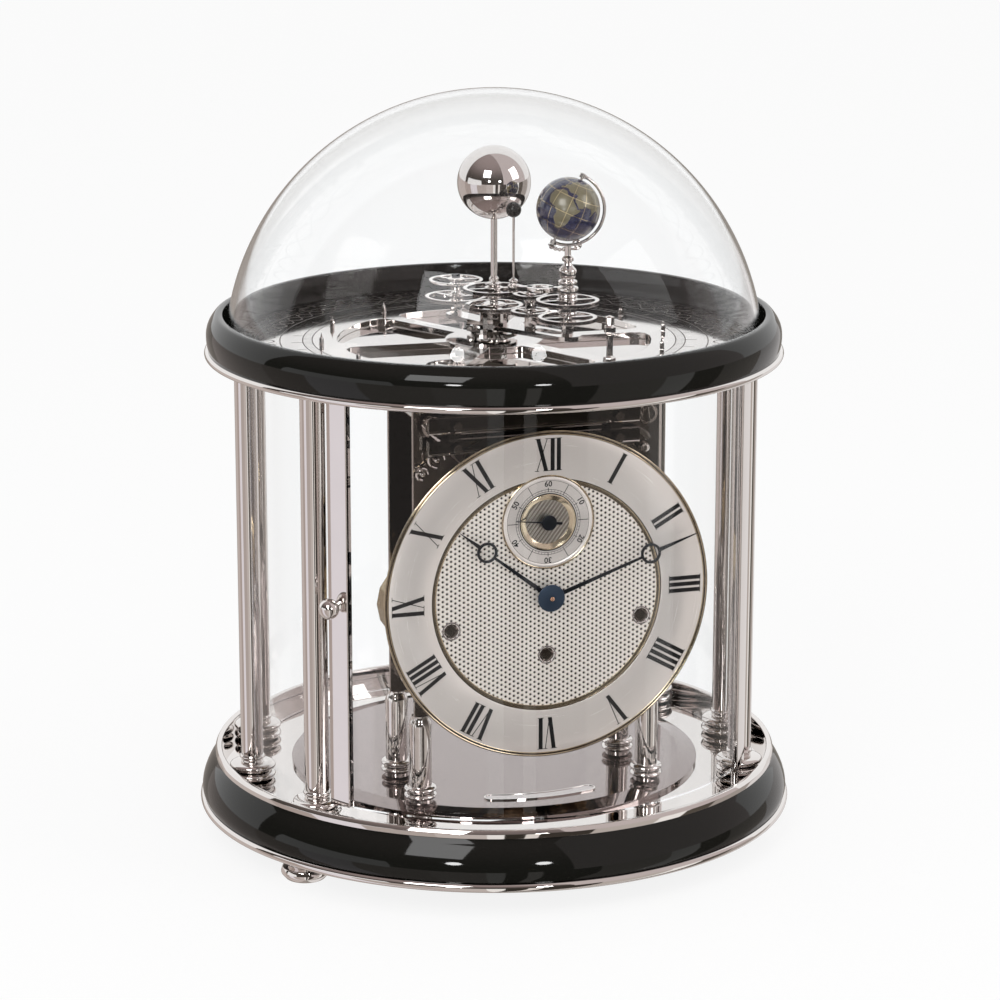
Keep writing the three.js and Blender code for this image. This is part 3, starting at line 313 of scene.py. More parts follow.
def curved_sheet(inner, outer, start, end, low, high, steps):
    """A sheet on a cylinder between two angles from the front: (r sin a, -r cos a, z), four walls closed."""
    angle = np.radians(np.linspace(start, end, steps + 1))
    corners = [(inner, low), (outer, low), (outer, high), (inner, high)]
    rows = [np.stack([r * np.sin(angle), -r * np.cos(angle), 0 * angle + z], 1) for r, z in corners]
    points = np.concatenate(rows)
    faces = lattice(4, steps + 1, True, False).tolist()
    faces.append([0, steps + 1, 2 * (steps + 1), 3 * (steps + 1)])
    faces.append([steps, 4 * steps + 3, 3 * steps + 2, 2 * steps + 1])
    return points, faces


def moved(shape, offset=(0, 0, 0), matrix=None):
    """The shape turned by a 3 x 3 matrix and then shifted."""
    points, faces = shape
    if matrix is not None:
        points = points @ np.asarray(matrix).T
    return points + np.array(offset, float), faces


def turn_z(angle):
    """The matrix that turns about Z."""
    along, across = math.cos(angle), math.sin(angle)
    return np.array([[along, -across, 0], [across, along, 0], [0, 0, 1]])


def faced(shape, x=0.0, up=0.0, turn=0.0):
    """Stands a flat shape up on the dial: its +Z runs to the front, and it turns clockwise by degrees."""
    points, faces = moved(shape, matrix=turn_z(-math.radians(turn)))
    return np.stack([points[:, 0] + x, -points[:, 2], points[:, 1] + DIAL_HEIGHT + up], 1), faces


FACING = np.array([[1, 0, 0], [0, 0, -1], [0, 1, 0]])
BACKING = np.array([[-1, 0, 0], [0, 0, 1], [0, 1, 0]])


def on_earth_axis(shape):
    """Leans a shape made along +Z round the origin onto the earth's axis, at the earth's place."""
    tilt = np.array(
        [
            [math.cos(EARTH_TILT), 0, math.sin(EARTH_TILT)],
            [0, 1, 0],
            [-math.sin(EARTH_TILT), 0, math.cos(EARTH_TILT)],
        ]
    )
    return moved(shape, EARTH_PLACE, turn_z(EARTH_LEAN) @ tilt)


def add_object(name, data):
    """Puts an object with some data into the scene."""
    made = bpy.data.objects.new(name, data)
    bpy.context.scene.collection.objects.link(made)
    return made


def dress(name, mesh, material, body, replaces=()):
    """Makes a piece of a mesh: one material with its slot, riding on a body, in the place of some nodes."""
    mesh.materials.clear()
    mesh.materials.append(material)
    piece = add_object(name, mesh)
    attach(piece, body)
    if replaces:
        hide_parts(*replaces)


def place(name, shapes, material, body, replaces=(), crease=32, flow=None):
    """Makes one piece of several shapes: doubles merged, faces outwards, edges sharp past a crease angle.

    flow is a point from which a UV map is laid out: u is the turn about that point in the XZ plane
    and v the distance, so that a brushed finish can follow circles.
    """
    points, faces, start = [], [], 0
    for shape_points, shape_faces in shapes:
        points.append(shape_points)
        listed = np.asarray(shape_faces, object).tolist()
        faces.extend([[corner + start for corner in face] for face in listed])
        start += len(shape_points)
    mesh = bpy.data.meshes.new(name)
    mesh.from_pydata(np.concatenate(points).tolist(), [], faces)
    work = bmesh.new()
    work.from_mesh(mesh)
    bmesh.ops.remove_doubles(work, verts=work.verts, dist=1e-7)
    bmesh.ops.recalc_face_normals(work, faces=work.faces)
    work.to_mesh(mesh)
    work.free()
    mesh.shade_smooth()
    mesh.set_sharp_from_angle(angle=math.radians(crease))
    if flow is not None:
        circular_uv(mesh, flow)
    dress(name, mesh, material, body, replaces)


def circular_uv(mesh, centre):
    """A UV map round a point of the XZ plane: u = turn, unwrapped within each face, and v = distance."""
    spots = np.empty(len(mesh.vertices) * 3, np.float32)
    mesh.vertices.foreach_get("co", spots)
    spots = spots.reshape(-1, 3)
    corner = np.empty(len(mesh.loops), np.int32)
    mesh.loops.foreach_get("vertex_index", corner)
    start = np.empty(len(mesh.polygons), np.int32)
    mesh.polygons.foreach_get("loop_start", start)
    total = np.empty(len(mesh.polygons), np.int32)
    mesh.polygons.foreach_get("loop_total", total)
    away = spots[corner][:, [0, 2]] - np.array(centre)
    turn = np.arctan2(away[:, 1], away[:, 0])
    first = np.repeat(turn[start], total)
    turn = first + (turn - first + math.pi) % TURN - math.pi
    uv = np.stack([turn / TURN * 8, np.hypot(away[:, 0], away[:, 1]) * 10], 1)
    layer = mesh.uv_layers.new(name="flow")
    layer.data.foreach_set("uv", uv.astype(np.float32).ravel())


def finish_node(node, material, bevel):
    """Gives a CAD node its material, with its corners joined and its edges lightly rounded."""
    piece = frame["nodes"][node]
    piece.data.materials.clear()
    piece.data.materials.append(material)
    weld = piece.modifiers.new("Weld", "WELD")
    weld.merge_threshold = 0.002 * MM
    if bevel:
        edge = piece.modifiers.new("Bevel", "BEVEL")
        edge.width = bevel
        edge.segments = 2
        edge.limit_method = "ANGLE"
        edge.angle_limit = math.radians(30)
        edge.harden_normals = False


# Node trees


class Nodes:
    """Adds nodes to a tree. Each call takes sockets or numbers and returns an output socket."""

    def __init__(self, tree):
        self.tree = tree

    def node(self, kind, **settings):
        made = self.tree.nodes.new(kind)
        for key, value in settings.items():
            setattr(made, key, value)
        return made

    def feed(self, socket, value):
        if isinstance(value, bpy.types.NodeSocket):
            self.tree.links.new(value, socket)
        else:
            socket.default_value = value

    def math(self, operation, *values):
        made = self.node("ShaderNodeMath", operation=operation)
        for socket, value in zip(made.inputs, values):
            self.feed(socket, value)
        return made.outputs[0]

    def mix(self, factor, first, second):
        made = self.node("ShaderNodeMix", data_type="RGBA")
        self.feed(made.inputs[0], factor)
        self.feed(made.inputs[6], first)
        self.feed(made.inputs[7], second)
        return made.outputs[2]

    def between(self, factor, low, high):
        """low + factor * (high - low)."""
        return self.math("MULTIPLY_ADD", factor, high - low, low)

    def coordinates(self, scale=(1, 1, 1)):
        source = self.node("ShaderNodeTexCoord")
        mapping = self.node("ShaderNodeMapping")
        self.tree.links.new(source.outputs["Object"], mapping.inputs["Vector"])
        mapping.inputs["Scale"].default_value = scale
        return mapping.outputs["Vector"]

    def apart(self, vector):
        made = self.node("ShaderNodeSeparateXYZ")
        self.feed(made.inputs[0], vector)
        return made.outputs

    def noise(self, vector, scale, detail=3.0, roughness=0.5):
        made = self.node("ShaderNodeTexNoise")
        self.feed(made.inputs["Vector"], vector)
        made.inputs["Scale"].default_value = scale
        made.inputs["Detail"].default_value = detail
        made.inputs["Roughness"].default_value = roughness
        return made.outputs["Fac"]

    def smooth(self, value, low, high):
        """0 below low, 1 above high, with an even slope between."""
        made = self.node("ShaderNodeMapRange", interpolation_type="SMOOTHSTEP")
        self.feed(made.inputs["Value"], value)
        made.inputs["From Min"].default_value = low
        made.inputs["From Max"].default_value = high
        return made.outputs[0]

    def along(self, vector, heading):
        """How far a vector runs along a level heading, in degrees from the front to the right."""
        made = self.node("ShaderNodeVectorMath", operation="DOT_PRODUCT")
        self.feed(made.inputs[0], vector)
        turn = math.radians(heading)
        made.inputs[1].default_value = (math.sin(turn), -math.cos(turn), 0)
        return made.outputs["Value"]

    def bands(self, value, stops):
        """Even colours side by side: each holds from its own place, in degrees, up to the next one."""
        made = self.node("ShaderNodeValToRGB")
        made.color_ramp.interpolation = "CONSTANT"
        elements = made.color_ramp.elements
        while len(elements) < len(stops):
            elements.new(0.5)
        for element, (degrees, colour) in zip(elements, stops):
            element.position = degrees / 360 + 0.5
            element.color = (*colour, 1)
        self.feed(made.inputs[0], self.math("MULTIPLY_ADD", value, 1 / 360, 0.5))
        return made.outputs[0]

    def blend(self, share, below, above):
        """One shader over another by a share."""
        made = self.node("ShaderNodeMixShader")
        self.feed(made.inputs[0], share)
        self.feed(made.inputs[1], below)
        self.feed(made.inputs[2], above)
        return made.outputs[0]

    def surface(self, shader):
        """Sends a shader to the material's output."""
        output = next(node for node in self.tree.nodes if node.type == "OUTPUT_MATERIAL")
        self.feed(output.inputs["Surface"], shader)

    def bump(self, height, strength, distance):
        made = self.node("ShaderNodeBump")
        self.feed(made.inputs["Height"], height)
        made.inputs["Strength"].default_value = strength
        made.inputs["Distance"].default_value = distance
        return made.outputs["Normal"]


def new_material(name, slot, colour, metallic, roughness):
    """A named material with one Principled shader, ready for its own nodes."""
    material = bpy.data.materials.new(name)
    material.use_nodes = True
    material["slot"] = slot
    nodes = Nodes(material.node_tree)
    shader = next(node for node in material.node_tree.nodes if node.type == "BSDF_PRINCIPLED")
    shader.inputs["Base Color"].default_value = (*colour, 1)
    shader.inputs["Metallic"].default_value = metallic
    shader.inputs["Roughness"].default_value = roughness
    return material, nodes, shader


def polished(name, slot, colour, smooth, dull, scale=60.0, scratch=0.02):
    """A polished metal: faint clouds in its colour and gloss, and hair-fine polishing marks."""
    material, nodes, shader = new_material(name, slot, colour, 1.0, smooth)
    place_of = nodes.coordinates()
    cloud = nodes.noise(place_of, scale, 4.0, 0.6)
    darker = tuple(part * 0.94 for part in colour)
    nodes.feed(shader.inputs["Base Color"], nodes.mix(cloud, (*colour, 1), (*darker, 1)))
    nodes.feed(shader.inputs["Roughness"], nodes.between(cloud, smooth, dull))
    marks = nodes.noise(nodes.coordinates((1, 1, 9)), scale * 22, 2.0)
    nodes.feed(shader.inputs["Normal"], nodes.bump(marks, scratch, 0.02 * MM))
    return material


def nickel_material():
    return polished("Nickel", "nickel", tuple(bpy.context.scene.clock_finish.nickel), 0.02, 0.05)


# A darker copy of the polished nickel, for the movement's plates, arbors, washers and screw heads and the
# dial's grooves: painted shade.
def dark_nickel_material():
    return polished("Dark nickel", "nickel", (0.36, 0.325, 0.30), 0.03, 0.07, 90.0)


# Polished steel painted near black for the lever bars: painted shade.
def dark_steel_material():
    return polished("Dark steel", "blued", (0.10, 0.092, 0.08), 0.03, 0.06, 30.0, 0.0)


def satin_material():
    return polished("Satin nickel", "nickel", (0.62, 0.575, 0.57), 0.16, 0.26, 140.0, 0.05)


def copper_material():
    return polished("Polished copper", "brass", (0.72, 0.44, 0.30), 0.1, 0.18, 200.0)


# The mirror disc's dim mauve grey lies far below a mirror's own brightness: painted shade and a painted
# reflection of a dim room.
def mirror_material():
    return polished("Mirror disc", "mirror", (0.37, 0.32, 0.31), 0.02, 0.06, 40.0, 0.01)


def brass_material():
    return polished("Satin brass", "brass", (0.50, 0.40, 0.25), 0.22, 0.3, 80.0, 0.02)


def gilt_material():
    return polished("Gilt", "gilt", (0.74, 0.64, 0.48), 0.12, 0.2, 60.0, 0.01)


def lacquer_material():
    """Deep black lacquer, polished, with a trace of orange peel and dust."""
    colour = tuple(bpy.context.scene.clock_finish.lacquer)
    material, nodes, shader = new_material("Black lacquer", "lacquer", colour, 0.0, 0.04)
    shader.inputs["IOR"].default_value = 1.38
    dust = nodes.noise(nodes.coordinates(), 900.0, 2.0)
    nodes.feed(shader.inputs["Roughness"], nodes.between(dust, 0.025, 0.06))
    lighter = tuple(part + 0.003 for part in colour)
    nodes.feed(shader.inputs["Base Color"], nodes.mix(dust, (*colour, 1), (*lighter, 1)))
    peel = nodes.noise(nodes.coordinates(), 160.0, 2.0)
    nodes.feed(shader.inputs["Normal"], nodes.bump(peel, 0.02, 0.05 * MM))
    return material


def glass_material():
    """Clear glass that lets lamp light through, so that what stands behind it is lit."""
    material, nodes, shader = new_material("Clear glass", "glass", (0.97, 0.985, 0.985), 0.0, 0.0)
    shader.inputs["Transmission Weight"].default_value = 1.0
    shader.inputs["IOR"].default_value = 1.28
    smear = nodes.noise(nodes.coordinates(), 14.0, 3.0)
    tint = nodes.mix(smear, (0.985, 0.992, 0.995, 1), (0.992, 0.996, 0.997, 1))
    nodes.feed(shader.inputs["Base Color"], tint)
    clear = nodes.node("ShaderNodeBsdfTransparent")
    clear.inputs["Color"].default_value = (0.96, 0.968, 0.97, 1)
    rays = nodes.node("ShaderNodeLightPath").outputs
    pass_light = nodes.math("MAXIMUM", rays["Is Shadow Ray"], rays["Is Diffuse Ray"])
    nodes.surface(nodes.blend(pass_light, shader.outputs[0], clear.outputs[0]))
    return material


def brushed_material(name, colour, lines=420.0):
    """Silvered metal brushed in circles: the grain follows the piece's own UV map, v being the radius.

    The silver is partly matt, so the even light shows on it too.
    """
    material, nodes, shader = new_material(name, "silver", colour, 0.55, 0.25)
    shader.inputs["Anisotropic"].default_value = 0.85
    flow = nodes.node("ShaderNodeUVMap", uv_map="flow")
    stretch = nodes.node("ShaderNodeMapping")
    stretch.inputs["Scale"].default_value = (1.2, lines, 1)
    nodes.feed(stretch.inputs["Vector"], flow.outputs[0])
    grain = nodes.noise(stretch.outputs[0], 1.0, 4.0, 0.7)
    darker = tuple(part * 0.95 for part in colour)
    nodes.feed(shader.inputs["Base Color"], nodes.mix(grain, (*darker, 1), (*colour, 1)))
    nodes.feed(shader.inputs["Roughness"], nodes.between(grain, 0.22, 0.3))
    tangent = nodes.node("ShaderNodeTangent", direction_type="UV_MAP", uv_map="flow")
    nodes.feed(shader.inputs["Tangent"], tangent.outputs[0])
    return material


def basket_material():
    """The dial centre's engine turning: raised silver beads between staggered pits, the pits painted near
    black as painted shade and the highest points of the relief given a painted highlight.

    The pits lie where three cosines are highest together: two whose crests lean at 30 degrees from the
    horizontal, to either side, and one whose crests stand upright. The disc's back stays plain.
    """
    # The second colour is the pits' painted shade and the third a painted highlight.
    light, dark, painted_glint = (0.866, 0.786, 0.718), (0.010, 0.008, 0.006), (0.98, 0.95, 0.92, 1)
    material, nodes, shader = new_material("Engine-turned silver", "silver", light, 0.5, 0.3)
    across, back, up = nodes.apart(nodes.coordinates())
    column, row = 2.22 * MM, 2.6 * MM
    front = nodes.math("LESS_THAN", back, 1.6 * MM - DIAL_FRONT)
    upright = nodes.math("COSINE", nodes.math("MULTIPLY", across, TURN / column))
    leaning = []
    for sense in (1, -1):
        slope = nodes.math("MULTIPLY", across, TURN / (2 * column))
        climb = nodes.math("MULTIPLY", up, sense * TURN / row)
        leaning.append(nodes.math("COSINE", nodes.math("ADD", slope, climb)))
    total = nodes.math("ADD", nodes.math("ADD", leaning[0], leaning[1]), upright)
    total = nodes.math("MULTIPLY", total, front)
    # Near black in the pits: painted shade.
    pit_and_shade = nodes.smooth(total, 0.3, 2.0)
    height = nodes.math("MULTIPLY", total, -1.0)
    # A painted highlight on the highest points of the relief.
    bright = nodes.smooth(height, 0.7, 1.4)
    tone = nodes.mix(pit_and_shade, nodes.mix(bright, (*light, 1), painted_glint), (*dark, 1))
    nodes.feed(shader.inputs["Base Color"], tone)
    nodes.feed(shader.inputs["Roughness"], nodes.between(pit_and_shade, 0.28, 0.6))
    nodes.feed(shader.inputs["Normal"], nodes.bump(height, 0.5, 0.12 * MM))
    return material


def ruled_material():
    """The seconds dial's centre: fine slanting cuts, the cosine of a slanting distance, darkest in the cuts'
    low parts as painted shade.
    """
    light, dark = (0.92, 0.89, 0.82), (0.20, 0.175, 0.14)
    material, nodes, shader = new_material("Ruled silver", "silver", light, 1.0, 0.3)
    across, _, up = nodes.apart(nodes.coordinates())
    slant = nodes.math("ADD", nodes.math("MULTIPLY", across, 0.8), nodes.math("MULTIPLY", up, -0.6))
    wave = nodes.math("COSINE", nodes.math("MULTIPLY", slant, TURN / (1.75 * MM)))
    height = nodes.math("MULTIPLY_ADD", wave, 0.5, 0.5)
    # The cuts' low parts take the dark colour: painted shade.
    nodes.feed(shader.inputs["Base Color"], nodes.mix(height, (*dark, 1), (*light, 1)))
    nodes.feed(shader.inputs["Roughness"], nodes.between(height, 0.4, 0.25))
    nodes.feed(shader.inputs["Normal"], nodes.bump(height, 0.4, 0.1 * MM))
    return material


def ink_material():
    """Black filling of the engraved numerals, a little uneven."""
    material, nodes, shader = new_material("Black filling", "blued", (0.012, 0.012, 0.014), 0.0, 0.35)
    grain = nodes.noise(nodes.coordinates(), 1500.0, 2.0)
    shader.inputs["Specular IOR Level"].default_value = 0.15
    nodes.feed(shader.inputs["Roughness"], nodes.between(grain, 0.4, 0.6))
    tone = nodes.mix(grain, (0.004, 0.004, 0.005, 1), (0.012, 0.012, 0.013, 1))
    nodes.feed(shader.inputs["Base Color"], tone)
    return material


def blued_material(name="Blued steel", low=(0.007, 0.008, 0.010), high=(0.014, 0.017, 0.024)):
    """Blackened satin steel of the hands, with a cold blue in its lighter clouds."""
    material, nodes, shader = new_material(name, "blued", low, 0.5, 0.3)
    shader.inputs["Specular IOR Level"].default_value = 0.3
    cloud = nodes.noise(nodes.coordinates(), 60.0, 2.0)
    nodes.feed(shader.inputs["Base Color"], nodes.mix(cloud, (*low, 1), (*high, 1)))
    nodes.feed(shader.inputs["Roughness"], nodes.between(cloud, 0.28, 0.36))
    return material


def engraved_material():
    """The top plate: polished nickel with engraved scales and a scroll band, all worked out from the
    distance and the turn about the clock's axis."""
    colour = tuple(bpy.context.scene.clock_finish.nickel)
    material, nodes, shader = new_material("Engraved nickel", "nickel", colour, 1.0, 0.06)
    x, y, z = nodes.apart(nodes.coordinates())
    far = nodes.math("SQRT", nodes.math("ADD", nodes.math("MULTIPLY", x, x), nodes.math("MULTIPLY", y, y)))
    turn = nodes.math("ARCTAN2", y, x)

    def band(value, middle, half):
        """1 where the value lies within half of the middle."""
        return nodes.math("COMPARE", value, middle, half)

    def ticks(count, width):
        """1 on evenly spaced radial marks of a width at the ticks' circle."""
        wave = nodes.math("COSINE", nodes.math("MULTIPLY", turn, float(count)))
        return nodes.math("GREATER_THAN", wave, math.cos(min(count * width / (112 * MM) / 2, 3)))

    lines = None
    for radius in (96, 101, 113, 127, 139):
        line = band(far, radius * MM, 0.3 * MM)
        lines = line if lines is None else nodes.math("MAXIMUM", lines, line)
    degrees = nodes.math("MULTIPLY", ticks(180, 0.5 * MM), band(far, 98.5 * MM, 2.5 * MM))
    tens = nodes.math("MULTIPLY", ticks(36, 0.8 * MM), band(far, 104 * MM, 3 * MM))
    lines = nodes.math("MAXIMUM", lines, nodes.math("MAXIMUM", degrees, tens))
    swing = nodes.math("MULTIPLY", nodes.math("SINE", nodes.math("MULTIPLY", turn, 36.0)), 4 * MM)
    off_middle = nodes.math("SUBTRACT", far, 120 * MM)
    for sense in (1.0, -1.0):
        wander = nodes.math("SUBTRACT", off_middle, nodes.math("MULTIPLY", swing, sense))
        vine = nodes.math("LESS_THAN", nodes.math("ABSOLUTE", wander), 0.5 * MM)
        lines = nodes.math("MAXIMUM", lines, vine)
    leaf = nodes.noise(nodes.coordinates(), 260.0, 2.0)
    leaves = nodes.math("MULTIPLY", nodes.math("GREATER_THAN", leaf, 0.56), band(far, 133 * MM, 4.5 * MM))
    lines = nodes.math("MAXIMUM", lines, leaves)
    on_top = nodes.math("GREATER_THAN", z, CEILING_TOP + 3.2 * MM)
    low_enough = nodes.math("LESS_THAN", z, CEILING_TOP + 3.8 * MM)
    lines = nodes.math("MULTIPLY", lines, nodes.math("MULTIPLY", on_top, low_enough))
    nodes.feed(shader.inputs["Base Color"], nodes.mix(lines, (*colour, 1), (0.16, 0.14, 0.13, 1)))
    nodes.feed(shader.inputs["Roughness"], nodes.between(lines, 0.07, 0.5))
    cut = nodes.math("MULTIPLY", lines, -1.0)
    nodes.feed(shader.inputs["Normal"], nodes.bump(cut, 0.3, 0.1 * MM))
    return material


def earth_material():
    """Dark blue enamel with gilt land and a net of gold lines.

    Land is the attribute that the globe's mesh carries. The net lies where the turn about the
    earth's axis or the height along it passes a multiple of its step.
    """
    sea, land_tone, gold = (0.008, 0.010, 0.035), (0.10, 0.085, 0.045), (0.50, 0.41, 0.24)
    material, nodes, shader = new_material("Globe enamel", "globe", sea, 0.0, 0.2)
    shader.inputs["Coat Weight"].default_value = 0.8
    shader.inputs["Coat Roughness"].default_value = 0.05
    land = nodes.node("ShaderNodeAttribute", attribute_name="land").outputs["Fac"]
    shore = nodes.math("GREATER_THAN", land, 0.5)
    cloud = nodes.noise(nodes.coordinates(), 160.0, 5.0, 0.6)
    deep = nodes.mix(cloud, (*sea, 1), (0.018, 0.021, 0.065, 1))
    relief = nodes.mix(cloud, (*land_tone, 1), (0.17, 0.145, 0.08, 1))
    ground = nodes.mix(shore, deep, relief)
    east = nodes.node("ShaderNodeAttribute", attribute_name="east").outputs["Fac"]
    north = nodes.node("ShaderNodeAttribute", attribute_name="north").outputs["Fac"]
    net = None
    for value, step, width in ((east, 30.0, 0.6), (north, 30.0, 0.6)):
        cell = nodes.math("ABSOLUTE", nodes.math("PINGPONG", value, step / 2))
        line = nodes.math("LESS_THAN", cell, width)
        net = line if net is None else nodes.math("MAXIMUM", net, line)
    nodes.feed(shader.inputs["Base Color"], nodes.mix(net, ground, (*gold, 1)))
    nodes.feed(shader.inputs["Metallic"], nodes.math("MULTIPLY", net, 0.9))
    nodes.feed(shader.inputs["Roughness"], nodes.between(shore, 0.18, 0.35))
    nodes.feed(shader.inputs["Normal"], nodes.bump(shore, 0.2, 0.1 * MM))
    return material


def moon_material():
    """Dark polished metal with faint pits."""
    material, nodes, shader = new_material("Dark moon", "moon", (0.02, 0.02, 0.018), 0.6, 0.2)
    pits = nodes.noise(nodes.coordinates(), 700.0, 3.0)
    nodes.feed(shader.inputs["Roughness"], nodes.between(pits, 0.15, 0.4))
    tone = nodes.mix(pits, (0.015, 0.015, 0.014, 1), (0.05, 0.048, 0.045, 1))
    nodes.feed(shader.inputs["Base Color"], tone)
    nodes.feed(shader.inputs["Normal"], nodes.bump(pits, 0.1, 0.1 * MM))
    return material


MATERIALS = {}


def shade(key):
    """The material of a finish, made when it is first asked for."""
    makers = {
        "nickel": nickel_material,
        "dark nickel": dark_nickel_material,
        "dark steel": dark_steel_material,
        "satin": satin_material,
        "copper": copper_material,
        "mirror": mirror_material,
        "brass": brass_material,
        "gilt": gilt_material,
        "lacquer": lacquer_material,
        "glass": glass_material,
        "chapter": lambda: brushed_material("Brushed silver", (0.816, 0.757, 0.720)),
        "seconds": lambda: brushed_material("Brushed silver, seconds", (0.816, 0.757, 0.720), 900.0),
        "basket": basket_material,
        "ruled": ruled_material,
        "ink": ink_material,
        "blued": blued_material,
        "blue cap": lambda: blued_material("Blue cap", (0.022, 0.035, 0.058), (0.04, 0.06, 0.095)),
        "engraved": engraved_material,
        "earth": earth_material,
        "moon": moon_material,
    }
    if key not in MATERIALS:
        MATERIALS[key] = makers[key]()
    return MATERIALS[key]


# Stage


WHITE = (1, 1, 1, 1)
LOW_WALL = [
    (-180, (0.38, 0.34, 0.31)),
    (-150, (0.60, 0.53, 0.50)),
    (-104, (0.47, 0.40, 0.37)),
    (-80, (0.86, 0.82, 0.86)),
    (-56, (0.50, 0.44, 0.41)),
    (-24, (0.60, 0.54, 0.51)),
    (-4, (0.98, 0.96, 0.93)),
    (4, (0.04, 0.034, 0.028)),
    (12, (0.85, 0.80, 0.76)),
    (17, (0.05, 0.042, 0.035)),
    (40, (0.54, 0.49, 0.455)),
    (70, (1.0, 0.98, 0.95)),
    (84, (0.10, 0.085, 0.07)),
    (100, (0.40, 0.36, 0.33)),
    (128, (0.82, 0.79, 0.78)),
    (160, (0.34, 0.31, 0.28)),
]


def looks(nodes):
    """Two shares: of rays that look straight or through glass, and of rays that a polished piece sends."""
    rays = nodes.node("ShaderNodeLightPath")
    bounced = nodes.math("GREATER_THAN", rays.outputs["Glossy Depth"], 0.5)
    through = rays.outputs["Is Transmission Ray"]
    straight = nodes.math("MULTIPLY", through, nodes.math("SUBTRACT", 1.0, bounced))
    seen = nodes.math("MAXIMUM", rays.outputs["Is Camera Ray"], straight)
    sent = nodes.math("MULTIPLY", through, bounced)
    return seen, nodes.math("MAXIMUM", rays.outputs["Is Glossy Ray"], sent)


def studio_world():
    """White behind the clock, and in front of it a dim room with a window, for polished pieces to show.

    A direction's climb and its turn away from the camera's side pick the tone. Below the horizon lie
    upright bands of light and dark. Matt surfaces are lit by an even pale grey instead.
    """
    world = bpy.data.worlds.new("Studio")
    bpy.context.scene.world = world
    world.use_nodes = True
    nodes = Nodes(world.node_tree)
    background = next(node for node in world.node_tree.nodes if node.type == "BACKGROUND")
    way = nodes.node("ShaderNodeTexCoord").outputs["Generated"]
    x, y, z = nodes.apart(way)
    turn = nodes.math("DEGREES", nodes.math("ARCTAN2", x, nodes.math("MULTIPLY", y, -1.0)))
    turn = nodes.math("WRAP", nodes.math("ADD", turn, CAMERA_TURN), 180.0, -180.0)
    room = nodes.mix(nodes.smooth(z, 0.17, 1.0), (0.055, 0.048, 0.041, 1), (0.34, 0.275, 0.265, 1))
    right = nodes.math("GREATER_THAN", nodes.along(way, 30 - CAMERA_TURN + 90), 0.0)
    room = nodes.mix(right, room, (0.60, 0.53, 0.52, 1))
    behind = nodes.math("LESS_THAN", nodes.along(way, 7 - CAMERA_TURN), math.cos(math.radians(108)))
    room = nodes.mix(behind, room, WHITE)
    tone = nodes.mix(nodes.math("LESS_THAN", z, 0.0), room, nodes.bands(turn, LOW_WALL))
    window = nodes.math("GREATER_THAN", nodes.along(way, -65 - CAMERA_TURN), 0.9)
    window = nodes.math("MULTIPLY", window, nodes.math("COMPARE", z, 0.07, 0.12))
    tone = nodes.mix(window, tone, WHITE)
    seen, mirrored = looks(nodes)
    even = nodes.mix(mirrored, (0.78, 0.78, 0.78, 1), tone)
    nodes.feed(background.inputs["Color"], nodes.mix(seen, even, WHITE))
    background.inputs["Strength"].default_value = 1.0


def floor_material():
    """A white floor: mostly white of itself for rays that look at it, and matt for lamp light.

    Polished pieces look through it at the studio's walls.
    """
    material, nodes, shader = new_material("Floor", "nickel", (0.9, 0.9, 0.9), 0.0, 0.9)
    glow = nodes.node("ShaderNodeEmission")
    glow.inputs["Color"].default_value = WHITE
    clear = nodes.node("ShaderNodeBsdfTransparent")
    seen, mirrored = looks(nodes)
    white = nodes.blend(nodes.math("MULTIPLY", seen, 0.86), shader.outputs[0], glow.outputs[0])
    nodes.surface(nodes.blend(mirrored, white, clear.outputs[0]))
    return material


def area_lamp(name, place_at, size, power, shape="RECTANGLE", in_gloss=True):
    """A soft lamp that looks at the middle of the clock, and that polished pieces show or don't."""
    data = bpy.data.lights.new(name, "AREA")
    data.shape = shape
    data.size, data.size_y = size
    data.energy = power
    lamp = add_object(name, data)
    lamp.location = place_at
    away = np.array(place_at) - np.array((0, 0, 0.2))
    lean = math.atan2(math.hypot(away[0], away[1]), away[2])
    lamp.rotation_euler = (lean, 0, math.atan2(away[1], away[0]) + math.pi / 2)
    lamp.visible_glossy = in_gloss


class CLOCK_OT_stage(bpy.types.Operator):
    """Makes the floor, the soft studio light and the camera"""

    bl_idname = "clock.stage"
    bl_label = "Stage"

    def execute(self, context):
        scene = context.scene
        scene.view_settings.view_transform = "Standard"
        floor_points, floor_faces = turned([(0, 0), (9, 0)], (0, 0), 64)
        mesh = bpy.data.meshes.new("floor")
        mesh.from_pydata(floor_points.tolist(), [], floor_faces.tolist())
        mesh.materials.append(floor_material())
        add_object("floor", mesh)
        studio_world()
        level = scene.clock_finish.light
        area_lamp("key", (-1.3, -1.5, 1.6), (0.9, 0.9), 13 * level)
        area_lamp("fill", (1.7, -1.1, 1.3), (1.0, 1.2), 9 * level, in_gloss=False)
        area_lamp("spark_left", (-1.01, -1.61, 0.68), (0.2, 0.2), 3 * level, "DISK")
        area_lamp("spark_right", (0.04, -1.9, 0.68), (0.2, 0.2), 3 * level, "DISK")
        data = bpy.data.cameras.new("camera")
        data.lens = LENS
        data.sensor_width = SENSOR
        data.shift_x = CAMERA_SHIFT
        data.clip_end = 50
        camera = add_object("camera", data)
        camera.location = CAMERA_PLACE
        camera.rotation_euler = (math.radians(90 - CAMERA_PITCH), 0, -math.radians(CAMERA_TURN))
        scene.camera = camera
        return {"FINISHED"}


# Base


